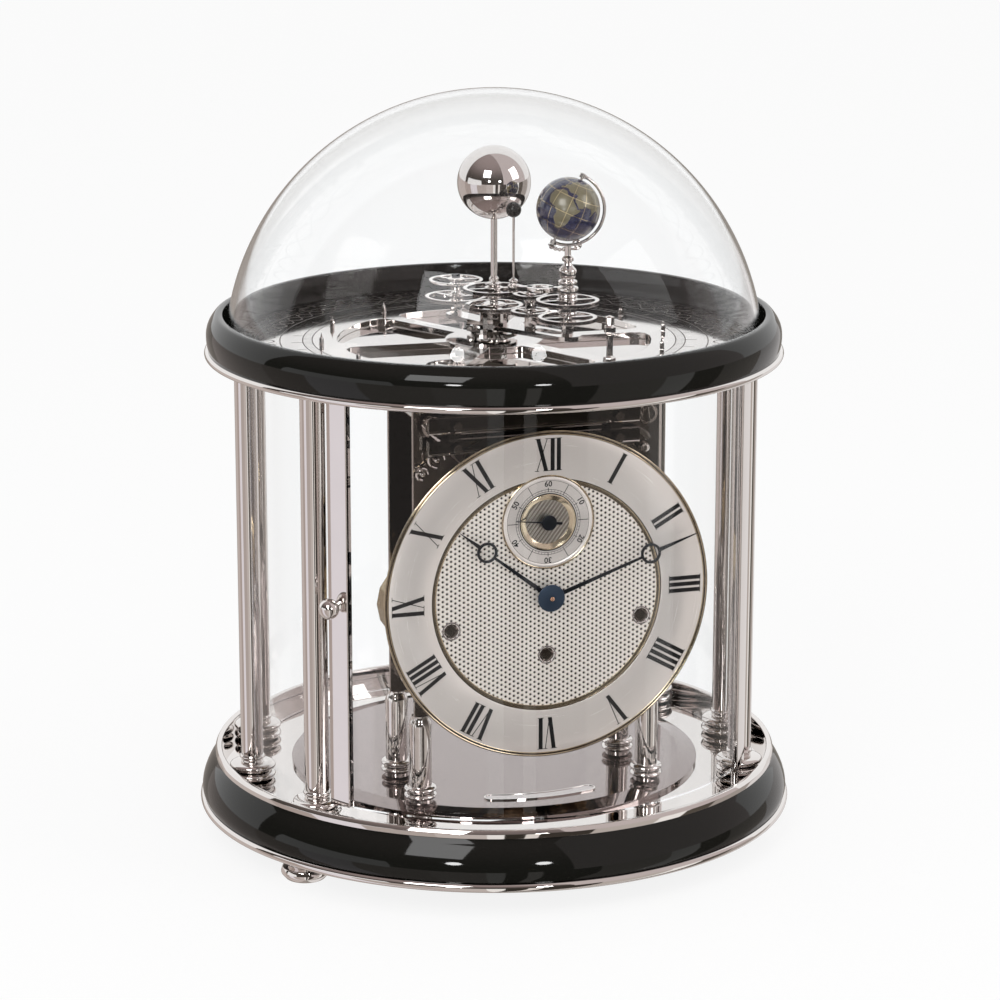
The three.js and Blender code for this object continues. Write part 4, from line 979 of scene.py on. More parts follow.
class CLOCK_OT_base(bpy.types.Operator):
    """Makes the lacquered plinth, its beads, the mirror disc, the label plate and the feet"""

    bl_idname = "clock.base"
    bl_label = "Base"

    def execute(self, context):
        ledge = PLINTH_LOW + 4 * MM
        waist = BEAD_RADIUS - 5.1 * MM
        top_edge = PLINTH_RADIUS - 7.3 * MM
        share = np.linspace(0, 1, 15)
        belly_height = ledge + (PLINTH_TOP - 1.2 * MM - ledge) * share
        swell = PLINTH_RADIUS - 7.3 * MM * np.clip((share - 0.15) / 0.85, 0, 1) ** 1.8
        swell -= 0.7 * MM * np.clip(1 - share / 0.15, 0, 1) ** 2
        belly = np.stack([swell, belly_height], 1)
        close = [
            (top_edge - 0.6 * MM, PLINTH_TOP),
            (top_edge - 2 * MM, PLINTH_TOP),
            (top_edge - 2 * MM, BASE_TOP - 3 * MM),
            (0, BASE_TOP - 3 * MM),
        ]
        start = [(0, PLINTH_LOW), (waist, PLINTH_LOW), (waist, ledge)]
        profile = np.concatenate([start, belly, close])
        place("plinth", [turned(profile, segments=160)], shade("lacquer"), "case", ["base_plinth"])

        low, high = PLINTH_LOW - 1 * MM, ledge - 0.3 * MM
        edge = bead(BEAD_RADIUS - 2.2 * MM, 2.2 * MM, low, high, 10)
        inside = [(waist + 0.3 * MM, high), (waist + 0.3 * MM, low)]
        rim = turned(np.concatenate([edge, inside]), segments=160, closed=True)
        place("plinth_foot_bead", [rim], shade("nickel"), "case", ["plinth_lower_bead"])

        inner = reach("plinth_upper_bead")[2] - 3.6 * MM
        outer = reach("plinth_upper_bead")[2]
        corners = [
            (inner, BASE_TOP, 0),
            (inner, KERB_TOP, 1.0 * MM),
            (outer - 1 * MM, KERB_TOP, 0.8 * MM),
            (outer, PLINTH_TOP + 2.4 * MM, 0.8 * MM),
            (outer, PLINTH_TOP, 0.2 * MM),
            (inner + 1.3 * MM, PLINTH_TOP, 0),
            (inner + 1.3 * MM, BASE_TOP, 0),
        ]
        kerb = turned(rounded(corners), segments=160, closed=True)
        place("plinth_kerb", [kerb], shade("nickel"), "case", ["plinth_upper_bead"])
        finish_node("base_plate", shade("nickel"), 0)

        corners = [
            (0, BASE_TOP),
            (MIRROR_RADIUS, BASE_TOP, 0),
            (MIRROR_RADIUS, BASE_TOP + 2 * MM, 0.2 * MM),
            (MIRROR_RADIUS - 10 * MM, MIRROR_TOP, 0.3 * MM),
            (0, MIRROR_TOP),
        ]
        disc = turned(rounded(corners), segments=128)
        # The mirror disc takes the dim mirror colour: painted shade.
        place("mirror", [disc], shade("mirror"), "case", ["mirror_disc"], crease=8)

        for i in range(1, 5):
            x, y, radius, _, high = reach(f"foot_{i}")
            wide, top = radius / MM, high / MM
            corners = [
                (0, 0), (wide - 3, 0, 1.5), (wide, 3.4, 2.2), (wide - 1, 6.6, 1.2), (wide - 4, 7.8, 0.8),
                (wide - 4, 9.4, 0.8), (wide - 1.6, 10.4, 0.8), (wide - 1.6, top, 0.4), (0, top),
            ]
            foot = collet(corners, (x, y), False, 48, 4)
            place(f"foot_turned_{i}", [foot], shade("nickel"), "case", [f"foot_{i}"])

        radius, half_width, half_angle, rim = 85 * MM, 4 * MM, math.radians(18), 0.55 * MM
        low, high = MIRROR_TOP, MIRROR_TOP + 0.8 * MM
        outer = label_outline(radius, half_width, half_angle)
        inner = label_outline(radius, half_width - rim, half_angle)
        place("label_plate", [prism(inner, low, high - 0.25 * MM)], shade("satin"), "case", ["name_plate"])
        place("label_rim", [label_band(outer, inner, low, high)], shade("nickel"), "case")
        return {"FINISHED"}


def label_outline(radius, half_width, half_angle, steps=28, ends=10):
    """A band on a circle with half-round ends, walked anticlockwise."""
    front = -math.pi / 2
    along = np.linspace(-half_angle, half_angle, steps)
    outer = np.stack([np.cos(front + along), np.sin(front + along)], 1) * (radius + half_width)
    inner = np.stack([np.cos(front - along), np.sin(front - along)], 1) * (radius - half_width)
    parts = []
    for side, arc in ((1, outer), (-1, inner)):
        parts.append(arc)
        heading = front + side * half_angle
        middle = np.array([math.cos(heading), math.sin(heading)]) * radius
        first = heading if side > 0 else heading + math.pi
        bend = first + np.linspace(0, math.pi, ends + 2)[1:-1]
        parts.append(middle + half_width * np.stack([np.cos(bend), np.sin(bend)], 1))
    return np.concatenate(parts)


def label_band(outer, inner, low, high):
    """The strip between two walks of the label's outline, square in section."""
    rows = [np.column_stack([walk, np.full(len(walk), z)]) for walk, z in
            ((outer, low), (outer, high), (inner, high), (inner, low))]
    return np.concatenate(rows), lattice(4, len(outer), True, True)


# Columns, panes and door


class CLOCK_OT_columns(bpy.types.Operator):
    """Makes the six turned columns with stacked rings at the foot"""

    bl_idname = "clock.columns"
    bl_label = "Columns"

    def execute(self, context):
        sizes = context.scene.clock_sizes
        foot, top = BASE_TOP, CEILING_LOW
        shaft = sizes.column_radius
        throat = shaft + 2.6 * MM
        neck = foot + 9.9 * MM
        profile = np.concatenate(
            [
                [(0, foot), (throat, foot)],
                bead(throat, COLLAR_RADIUS - throat, foot + 0.2 * MM, foot + 4.7 * MM, 10),
                bead(throat, COLLAR_RADIUS - throat, foot + 5.1 * MM, foot + 9.5 * MM, 10),
                [(shaft + 0.2 * MM, neck), (shaft + 0.2 * MM, neck + 0.8 * MM)],
                bead(shaft - 0.1 * MM, 0.9 * MM, neck + 1.0 * MM, neck + 3.4 * MM, 6),
                [(shaft, neck + 3.8 * MM), (shaft, top - 3 * MM)],
                bead(shaft, 0.5 * MM, top - 2.8 * MM, top - 1 * MM, 6),
                [(shaft - 0.4 * MM, top - 0.6 * MM), (shaft - 0.4 * MM, top), (0, top)],
            ]
        )
        for name, angle in COLUMN_ANGLES.items():
            turn = math.radians(angle)
            spot = (COLUMN_CIRCLE * math.sin(turn), -COLUMN_CIRCLE * math.cos(turn))
            place(f"{name}_turned", [turned(profile, spot, 64)], shade("nickel"), "case", [name])
        return {"FINISHED"}


def post_half_angle(radius, circle):
    """The angle in degrees that a post takes up on each side of itself on a circle."""
    return math.degrees(math.asin((radius + 0.4 * MM) / circle))


class CLOCK_OT_panes(bpy.types.Operator):
    """Makes the five curved panes between the columns"""

    bl_idname = "clock.panes"
    bl_label = "Panes"

    def execute(self, context):
        reach_angle = post_half_angle(COLUMN_RADIUS, COLUMN_CIRCLE)
        inner, outer = COLUMN_CIRCLE - GLASS / 2, COLUMN_CIRCLE + GLASS / 2
        for name, (start, end) in PANES.items():
            sheet = curved_sheet(
                inner,
                outer,
                start + reach_angle,
                end - reach_angle,
                BASE_TOP + 0.2 * MM,
                CEILING_LOW - 0.2 * MM,
                max(12, int((end - start) / 1.5)),
            )
            place(f"{name}_glass", [sheet], shade("glass"), "case", [name])
        return {"FINISHED"}


def rounded_bar(width, thickness, low, high, edge):
    """An upright bar whose section is a rectangle with round corners, its ends lightly drawn in."""
    corners = [(1, 1), (-1, 1), (-1, -1), (1, -1)]
    outline = []
    for i, (a, b) in enumerate(corners):
        bend = np.linspace(0, math.pi / 2, 5) + i * math.pi / 2
        middle = np.array([a * (width / 2 - edge), b * (thickness / 2 - edge)])
        outline.append(middle + edge * np.stack([np.cos(bend), np.sin(bend)], 1))
    return prism(np.concatenate(outline), low, high, 0.3 * MM)


class CLOCK_OT_door(bpy.types.Operator):
    """Makes the door: a curved pane, two polished stiles, the hinge pins and the knob"""

    bl_idname = "clock.door"
    bl_label = "Door"

    def execute(self, context):
        half = math.degrees(math.asin((STILE_WIDTH / 2 + 0.3 * MM) / (DOOR_MIDDLE - GLASS / 2)))
        span = STILE_ANGLE - half - 0.02
        sheet = curved_sheet(
            DOOR_MIDDLE - GLASS / 2, DOOR_MIDDLE + GLASS / 2, -span, span, DOOR_LOW, DOOR_TOP, 72
        )
        place("door_pane", [sheet], shade("glass"), "door", ["door_glass"])
        for name, side in (("door_stile_right", 1), ("door_stile_left", -1)):
            turn = math.radians(side * STILE_ANGLE)
            spot = (DOOR_MIDDLE * math.sin(turn), -DOOR_MIDDLE * math.cos(turn), 0)
            stile = rounded_bar(STILE_WIDTH, STILE_THICKNESS, DOOR_LOW, DOOR_TOP, 0.5 * MM)
            shapes = [moved(stile, spot, turn_z(turn))]
            if side > 0:
                hinge = JOINTS["door_hinge"]["pos_m"]
                spans = ((BASE_TOP - 1.7 * MM, DOOR_LOW), (DOOR_TOP, CEILING_LOW + 1.7 * MM))
                for low, high in spans:
                    shapes.append(turned(pin(HINGE_PIN, low, high), hinge[:2], 24))
            place(f"{name}_polished", shapes, shade("nickel"), "door", [name])
        ball_middle = 8 * MM
        corners = [
            (0, 0),
            (2.8 * MM, 0, 0),
            (2.8 * MM, 0.8 * MM, 0.3 * MM),
            (1.6 * MM, 1.6 * MM, 0.4 * MM),
            (1.6 * MM, ball_middle - 5.3 * MM, 0),
        ]
        climb = np.linspace(-1.2, math.pi / 2, 20)
        globe = np.stack([5.4 * MM * np.cos(climb), ball_middle - 0.6 * MM + 4.9 * MM * np.sin(climb)], 1)
        globe[-1, 0] = 0
        knob = turned(np.concatenate([rounded(corners), globe]), segments=40)
        turn = math.radians(-STILE_ANGLE)
        front = DOOR_MIDDLE + STILE_THICKNESS / 2
        spot = (front * math.sin(turn), -front * math.cos(turn), KNOB_HEIGHT)
        place("knob", [moved(knob, spot, turn_z(turn) @ FACING)], shade("nickel"), "door", ["door_knob"])
        return {"FINISHED"}


# Top


class CLOCK_OT_top(bpy.types.Operator):
    """Makes the ceiling plate, the lacquered ring and the glass dome"""

    bl_idname = "clock.top"
    bl_label = "Top"

    def execute(self, context):
        edge = bead(CEILING_RADIUS - 2 * MM, 2 * MM, CEILING_LOW, CEILING_TOP, 12)
        bore = 2.5 * MM
        profile = np.concatenate([[(bore, CEILING_LOW)], edge, [(bore, CEILING_TOP)]])
        plate = turned(profile, segments=160, closed=True)
        place("ceiling", [plate], shade("nickel"), "case", ["ceiling_plate"])

        inner = RING_RADIUS - 9 * MM
        share = np.linspace(0, 1, 18)
        swell = RING_RADIUS - 4.6 * MM * np.clip((share - 0.4) / 0.6, 0, 1) ** 2.2
        swell -= 0.9 * MM * np.clip(1 - share / 0.4, 0, 1) ** 2
        belly = np.stack([swell, CEILING_TOP + (RING_TOP - 0.6 * MM - CEILING_TOP) * share], 1)
        lip = [
            (RING_RADIUS - 5.4 * MM, RING_TOP - 0.1 * MM),
            (RING_RADIUS - 6.2 * MM, RING_TOP),
            (inner + 1 * MM, RING_TOP),
            (inner + 0.3 * MM, RING_TOP - 0.3 * MM),
            (inner, RING_TOP - 1.1 * MM),
            (inner, CEILING_TOP),
        ]
        hoop = turned(np.concatenate([belly, lip]), segments=160, closed=True)
        place("ring", [hoop], shade("lacquer"), "case", ["top_ring"])

        height = DOME_TOP - DOME_LOW
        outer = (DOME_RADIUS**2 + height**2) / (2 * height)
        middle = DOME_TOP - outer
        walls = []
        for radius, sense in ((outer, 1), (outer - GLASS, -1)):
            low = math.asin((DOME_LOW - middle) / radius)
            climb = np.linspace(low, math.pi / 2, 49)[::sense]
            wall = np.stack([radius * np.cos(climb), middle + radius * np.sin(climb)], 1)
            wall[np.abs(wall[:, 0]) < 1e-6, 0] = 0
            walls.append(wall)
        shell = turned(np.concatenate([walls[1], walls[0]]), segments=128)
        place("dome", [shell], shade("glass"), "dome", ["dome_glass"])
        finish_node("orrery_plate", shade("engraved"), 0.35 * MM)
        return {"FINISHED"}


# Sun, earth and moon


LOWER_LEVEL = (281 * MM, 283 * MM)
UPPER_LEVEL = (290 * MM, 292 * MM)
EARTH_HEADING = math.atan2(EARTH_PLACE[1], EARTH_PLACE[0])
TAIL_HEADING = math.radians(112.4)
IDLER_PLACE = EARTH_PLACE[:2] / 2
TAIL_PLACE = 31.875 * MM * np.array([math.cos(TAIL_HEADING), math.sin(TAIL_HEADING)])


def meshed(phase, teeth, other_teeth, heading):
    """The turn of a wheel that meets another one along a heading, so that a tip falls into a gap."""
    return heading + math.pi - (phase - heading) * teeth / other_teeth - math.pi / other_teeth


PARALLEL_PHASE = meshed(0, 24, 16, EARTH_HEADING)
STAND_PHASE = meshed(PARALLEL_PHASE, 16, 24, EARTH_HEADING)
MONTH_IDLER_PHASE = meshed(0, 36, 20, EARTH_HEADING)
MOON_PHASE = meshed(MONTH_IDLER_PHASE, 20, 36, EARTH_HEADING)
TAIL_PHASE = meshed(0, 24, 26, TAIL_HEADING)


def wheel(teeth, radius, phase, level, spokes, rim=2.2 * MM, bore=2 * MM):
    """A wheel with fine teeth as shapes that meet: the rim and its tapered spokes.

    The rim's edge is r + module * (0.55 at a tip, -0.85 at a root), three times as many teeth as the
    solid below it so that they still mesh, and its inside a circle.
    """
    low, high = level
    count = teeth * 3
    module = 2 * radius / count
    angle = phase + np.arange(4 * count) * TURN / (4 * count)
    edge = radius + module * np.array([0.55, 0.1, -0.85, 0.1] * count)
    inner = np.full(4 * count, radius - rim)
    skin = 0.2 * MM
    corner_sets = [
        (inner, low + skin),
        (inner + skin, low),
        (edge - skin, low),
        (edge, low + skin),
        (edge, high - skin),
        (edge - skin, high),
        (inner + skin, high),
        (inner, high - skin),
    ]
    rows = [np.stack([r * np.cos(angle), r * np.sin(angle), 0 * angle + z], 1) for r, z in corner_sets]
    shapes = [(np.concatenate(rows), lattice(8, 4 * count, True, True))]
    for i in range(spokes):
        heading = TURN * i / spokes
        way = np.array([math.cos(heading), math.sin(heading)])
        ends = (way * bore * 1.5, way * (radius - rim + 0.3 * MM))
        shapes.append(bar(*ends, 2.8 * MM, 1.9 * MM, low + skin, high - skin, 0.12 * MM))
    return shapes


def screw(radius, height, slot, turn=0.0):
    """A cheese-head screw along +Z: a turned disc and two segments that leave a slot between them."""
    shapes = [turned([(0, 0), (radius, 0), (radius, 0.6 * height), (0, 0.6 * height)], segments=20)]
    spread = math.acos(slot / 2 / radius)
    for side in (turn, turn + math.pi):
        arc = side + np.linspace(-spread, spread, 11)
        outline = radius * np.stack([np.cos(arc), np.sin(arc)], 1)
        shapes.append(prism(outline, 0.55 * height, height, 0.08 * MM))
    return shapes


def round_arm(start, end, width, low, high, bevel=0.25 * MM):
    """A flat arm with half-round ends between two points of the plane."""
    start, end = np.array(start, float), np.array(end, float)
    heading = math.atan2(*(end - start)[::-1])
    outline = []
    for spot, first in ((end, heading - math.pi / 2), (start, heading + math.pi / 2)):
        bend = first + np.linspace(0, math.pi, 13)
        outline.append(spot + width / 2 * np.stack([np.cos(bend), np.sin(bend)], 1))
    return prism(np.concatenate(outline), low, high, bevel)


def pierced_eye(spot, radius, bore, low, high):
    """A flat ring with rounded edges, made to sit on an arm."""
    edge = 0.3 * MM
    corners = [(bore, low), (radius, low), (radius, high, edge), (bore, high, edge), (bore, low)]
    return turned(rounded(corners, 3)[:-1], spot, 40, True)


class CLOCK_OT_train(bpy.types.Operator):
    """Makes the wheels, arbors and arms that carry the sun, the earth and the moon"""

    bl_idname = "clock.train"
    bl_label = "Wheels of the sun and the moon"

    def execute(self, context):
        nickel = shade("nickel")
        finish_node("carriage", nickel, 0.25 * MM)
        finish_node("year_pinion", nickel, 0.12 * MM)
        fixed = [
            collet([
                (2.5, 265), (9, 265), (9, 266.2, 0.3), (4.9, 266.2), (4.9, 280.8), (6.8, 280.8),
                (6.8, 283.1, 0.3), (5.6, 283.7, 0.3), (2.5, 283.7), (2.5, 265),
            ]),
            *wheel(24, 15.3 * MM, 0, LOWER_LEVEL, 4, bore=4 * MM),
        ]
        for i in range(3):
            turn = TURN * i / 3 + 0.4
            spot = (7.2 * MM * math.cos(turn), 7.2 * MM * math.sin(turn), 266 * MM)
            fixed += [moved(part, spot) for part in screw(1.2 * MM, 0.7 * MM, 0.35 * MM, turn)]
        place("fixed_wheel_cut", fixed, nickel, "case", ["fixed_wheel"])

        month = [
            collet([
                (0, 245.5), (2.2, 245.5), (2.2, 247.5), (6, 247.5, 0.3), (6, 250.5, 0.3), (2.2, 250.5),
                (2.2, 286), (3.4, 286.4, 0.3), (3.8, 287.4, 0.5), (3.4, 288.4, 0.3), (2.8, 289),
                (5, 289.7, 0.2), (5, 292.3, 0.3), (3.2, 292.7, 0.2), (3.9, 293.4, 0.4), (3.9, 294.6, 0.4),
                (2.6, 295.2, 0.2), (2.6, 297, 0.5), (1.75, 298, 0.3), (1.75, 333), (0, 333),
            ], closed=False),
            *wheel(36, 16.393 * MM, 0, UPPER_LEVEL, 4, bore=3 * MM),
        ]
        place("month_arbor_cut", month, nickel, "month_arbor", ["month_arbor"])

        parallel = [
            collet([
                (1.7, 280), (3.2, 280, 0.3), (3.2, 280.5), (4.4, 280.9, 0.2), (4.4, 283.1, 0.3),
                (2.9, 283.8, 0.3), (2.9, 287.6, 0.4), (3.3, 288.2, 0.3), (3.3, 289.2, 0.3), (1.7, 289.2),
                (1.7, 280),
            ]),
            *wheel(16, 10.2 * MM, PARALLEL_PHASE, LOWER_LEVEL, 3),
        ]
        self.standing(parallel, IDLER_PLACE, "parallel_idler")
        idler = [
            collet([
                (1.7, 289.4), (3.2, 289.4, 0.2), (4.2, 289.9, 0.2), (4.2, 292.2, 0.3), (3.2, 292.7, 0.3),
                (3.2, 293, 0.2), (1.7, 293), (1.7, 289.4),
            ]),
            *wheel(20, 9.107 * MM, MONTH_IDLER_PHASE, UPPER_LEVEL, 3),
        ]
        self.standing(idler, IDLER_PLACE, "month_idler")
        tail = [
            collet([
                (1.7, 280), (3.4, 280, 0.3), (4.8, 280.7, 0.3), (4.8, 283.3, 0.3), (3, 284.2, 0.4),
                (2.6, 286.3, 0.6), (3, 288.6, 0.4), (4.6, 289.6, 0.3), (4.6, 292.4, 0.3), (3.4, 293, 0.2),
                (1.7, 293), (1.7, 280),
            ]),
            *wheel(26, 16.575 * MM, TAIL_PHASE, LOWER_LEVEL, 3),
            pierced_eye((0, 0), 14.48 * MM, 12.5 * MM, *UPPER_LEVEL),
        ]
        for i in range(3):
            way = np.array([math.cos(TURN * i / 3), math.sin(TURN * i / 3)])
            ends = (way * 3 * MM, way * 12.8 * MM)
            tail.append(bar(*ends, 2.2 * MM, 1.8 * MM, 290.2 * MM, 291.8 * MM, 0.12 * MM))
        self.standing(tail, TAIL_PLACE, "tail_wheels")
        self.moon_arm()
        heads = []
        for spot in (IDLER_PLACE, TAIL_PLACE):
            heads += [moved(part, (*spot, 293.2 * MM)) for part in screw(2.3 * MM, 1.5 * MM, 0.6 * MM, 0.7)]
        place("stud_screws", heads, shade("blued"), "carriage")
        return {"FINISHED"}

    def standing(self, shapes, spot, node):
        """Puts shapes made round the axis at their spot, in the place of a node of the same body."""
        shapes = [moved(shape, (*spot, 0)) for shape in shapes]
        place(f"{node}_cut", shapes, shade("nickel"), node, [node])

    def moon_arm(self):
        """The moon's wheel with its pierced arm, the turned foot at its end and the rod."""
        x, y, _, moon_low, _ = reach("moon_globe")
        away = np.array([x, y]) - EARTH_PLACE[:2]
        half = away / 2
        low, high = 296 * MM, 298.4 * MM
        shapes = [
            collet([
                (3.5, 283.5), (5, 283.5, 0.3), (5, 285, 0.3), (4.5, 285.8, 0.3), (4.5, 288.6, 0.3),
                (5.8, 289.7, 0.2), (5.8, 292.3, 0.3), (4.6, 292.8, 0.3), (5.2, 293.8, 0.5), (4.6, 295, 0.4),
                (5.6, 295.8, 0.3), (5.6, 298.6, 0.4), (3.5, 298.6), (3.5, 283.5),
            ]),
            *wheel(36, 16.393 * MM, MOON_PHASE, UPPER_LEVEL, 4, bore=3 * MM),
            round_arm(away * 0.17, half * 0.80, 4.4 * MM, low, high),
            pierced_eye(half, 7.2 * MM, 4 * MM, low, high),
            round_arm(half * 1.32, away, 4.4 * MM, low, high),
            collet([
                (0, 295.4), (3, 295.4, 0.3), (3, 298.9, 0.4), (1.7, 299.6, 0.3), (2.4, 300.4, 0.5),
                (2.4, 301.4, 0.5), (1.2, 302.2, 0.3), (0.65, 302.8), (0.65, moon_low / MM + 1.2),
                (0, moon_low / MM + 1.2),
            ], away, False),
        ]
        self.standing(shapes, EARTH_PLACE[:2], "moon_wheel")


CONTINENTS = {
    "africa": [
        (-17, 15), (-10, 30), (0, 36), (11, 37), (20, 32), (32, 31), (36, 22), (43, 12), (51, 12), (48, 5),
        (40, -4), (40, -15), (35, -24), (28, -33), (19, -35), (12, -18), (13, -6), (9, 4), (-8, 5),
    ],
    "eurasia": [
        (-9, 37), (-9, 43), (-1, 44), (-4, 48), (8, 54), (8, 58), (5, 61), (15, 69), (28, 71), (45, 67),
        (70, 73), (105, 77), (140, 73), (178, 69), (163, 60), (156, 52), (140, 54), (140, 47), (129, 42),
        (122, 38), (121, 28), (109, 20), (106, 10), (101, 3), (98, 14), (91, 22), (80, 14), (77, 8),
        (72, 20), (61, 25), (57, 18), (45, 13), (42, 18), (35, 29), (36, 36), (27, 37), (22, 37), (16, 40),
        (12, 44), (3, 42),
    ],
    "north_america": [
        (-166, 66), (-156, 71), (-125, 70), (-95, 72), (-80, 70), (-93, 60), (-80, 52), (-76, 62),
        (-64, 58), (-56, 52), (-66, 45), (-75, 37), (-81, 30), (-83, 29), (-90, 30), (-97, 26), (-97, 19),
        (-88, 20), (-84, 11), (-78, 8), (-87, 12), (-105, 20), (-112, 28), (-122, 36), (-124, 46),
        (-133, 56), (-150, 60), (-164, 58),
    ],
    "south_america": [
        (-77, 8), (-72, 12), (-60, 9), (-51, 3), (-35, -6), (-39, -16), (-48, -26), (-57, -36), (-65, -42),
        (-68, -54), (-74, -50), (-71, -30), (-70, -18), (-80, -5),
    ],
    "australia": [
        (114, -22), (122, -18), (130, -12), (136, -13), (142, -11), (146, -19), (153, -27), (150, -37),
        (141, -38), (131, -32), (115, -34),
    ],
    "greenland": [
        (-55, 60), (-43, 60), (-22, 70), (-20, 80), (-45, 83), (-65, 78), (-53, 70),
    ],
    "antarctica": [
        (-179, -90), (-179, -78), (-120, -74), (-60, -65), (-10, -71), (60, -67), (120, -66), (170, -72),
        (179, -78), (179, -90),
    ],
}


def inside(outline, east, north):
    """Whether each point lies in an outline, by counting the sides that a level line to it crosses."""
    held = np.zeros(east.shape, bool)
    corners = np.array(outline, float)
    for (x0, y0), (x1, y1) in zip(corners, np.roll(corners, -1, 0)):
        if y0 == y1:
            continue
        spans = (y0 > north) != (y1 > north)
        crossing = x0 + (north - y0) * (x1 - x0) / (y1 - y0)
        held ^= spans & (east < crossing)
    return held


def globe_piece():
    """The earth: a sphere on its tilted axis whose points carry east, north and land.

    Its points are r (cos n cos e, cos n sin e, sin n), and two sines ruffle the coasts.
    """
    rows, columns = 180, 360
    north = np.linspace(-90, 90, rows + 1)
    east = np.arange(columns + 1) * 360 / columns - 180
    climb, turn = np.radians(north)[:, None], np.radians(east + FIRST_MERIDIAN)[None]
    level = np.cos(climb)
    spots = np.stack([level * np.cos(turn), level * np.sin(turn), np.sin(climb) + 0 * turn], -1)
    spots = EARTH_RADIUS * spots.reshape(-1, 3)
    points, faces = on_earth_axis((spots, lattice(rows + 1, columns + 1)))
    mesh = bpy.data.meshes.new("globe")
    mesh.from_pydata(points.tolist(), [], faces.tolist())
    wide, high = np.meshgrid(east, north)
    ripple = 1.6 * np.sin(np.radians(wide) * 11 + np.radians(high) * 7) + 1.1 * np.sin(np.radians(high) * 17)
    land = np.zeros(wide.shape, bool)
    for outline in CONTINENTS.values():
        land |= inside(outline, wide + ripple, high + 0.7 * ripple)
    for label, values in (("land", land), ("east", wide + 180), ("north", high + 90)):
        attribute = mesh.attributes.new(label, "FLOAT", "POINT")
        attribute.data.foreach_set("value", values.astype(np.float32).ravel())
    mesh.shade_smooth()
    dress("globe", mesh, shade("earth"), "earth_globe", ["earth_globe"])


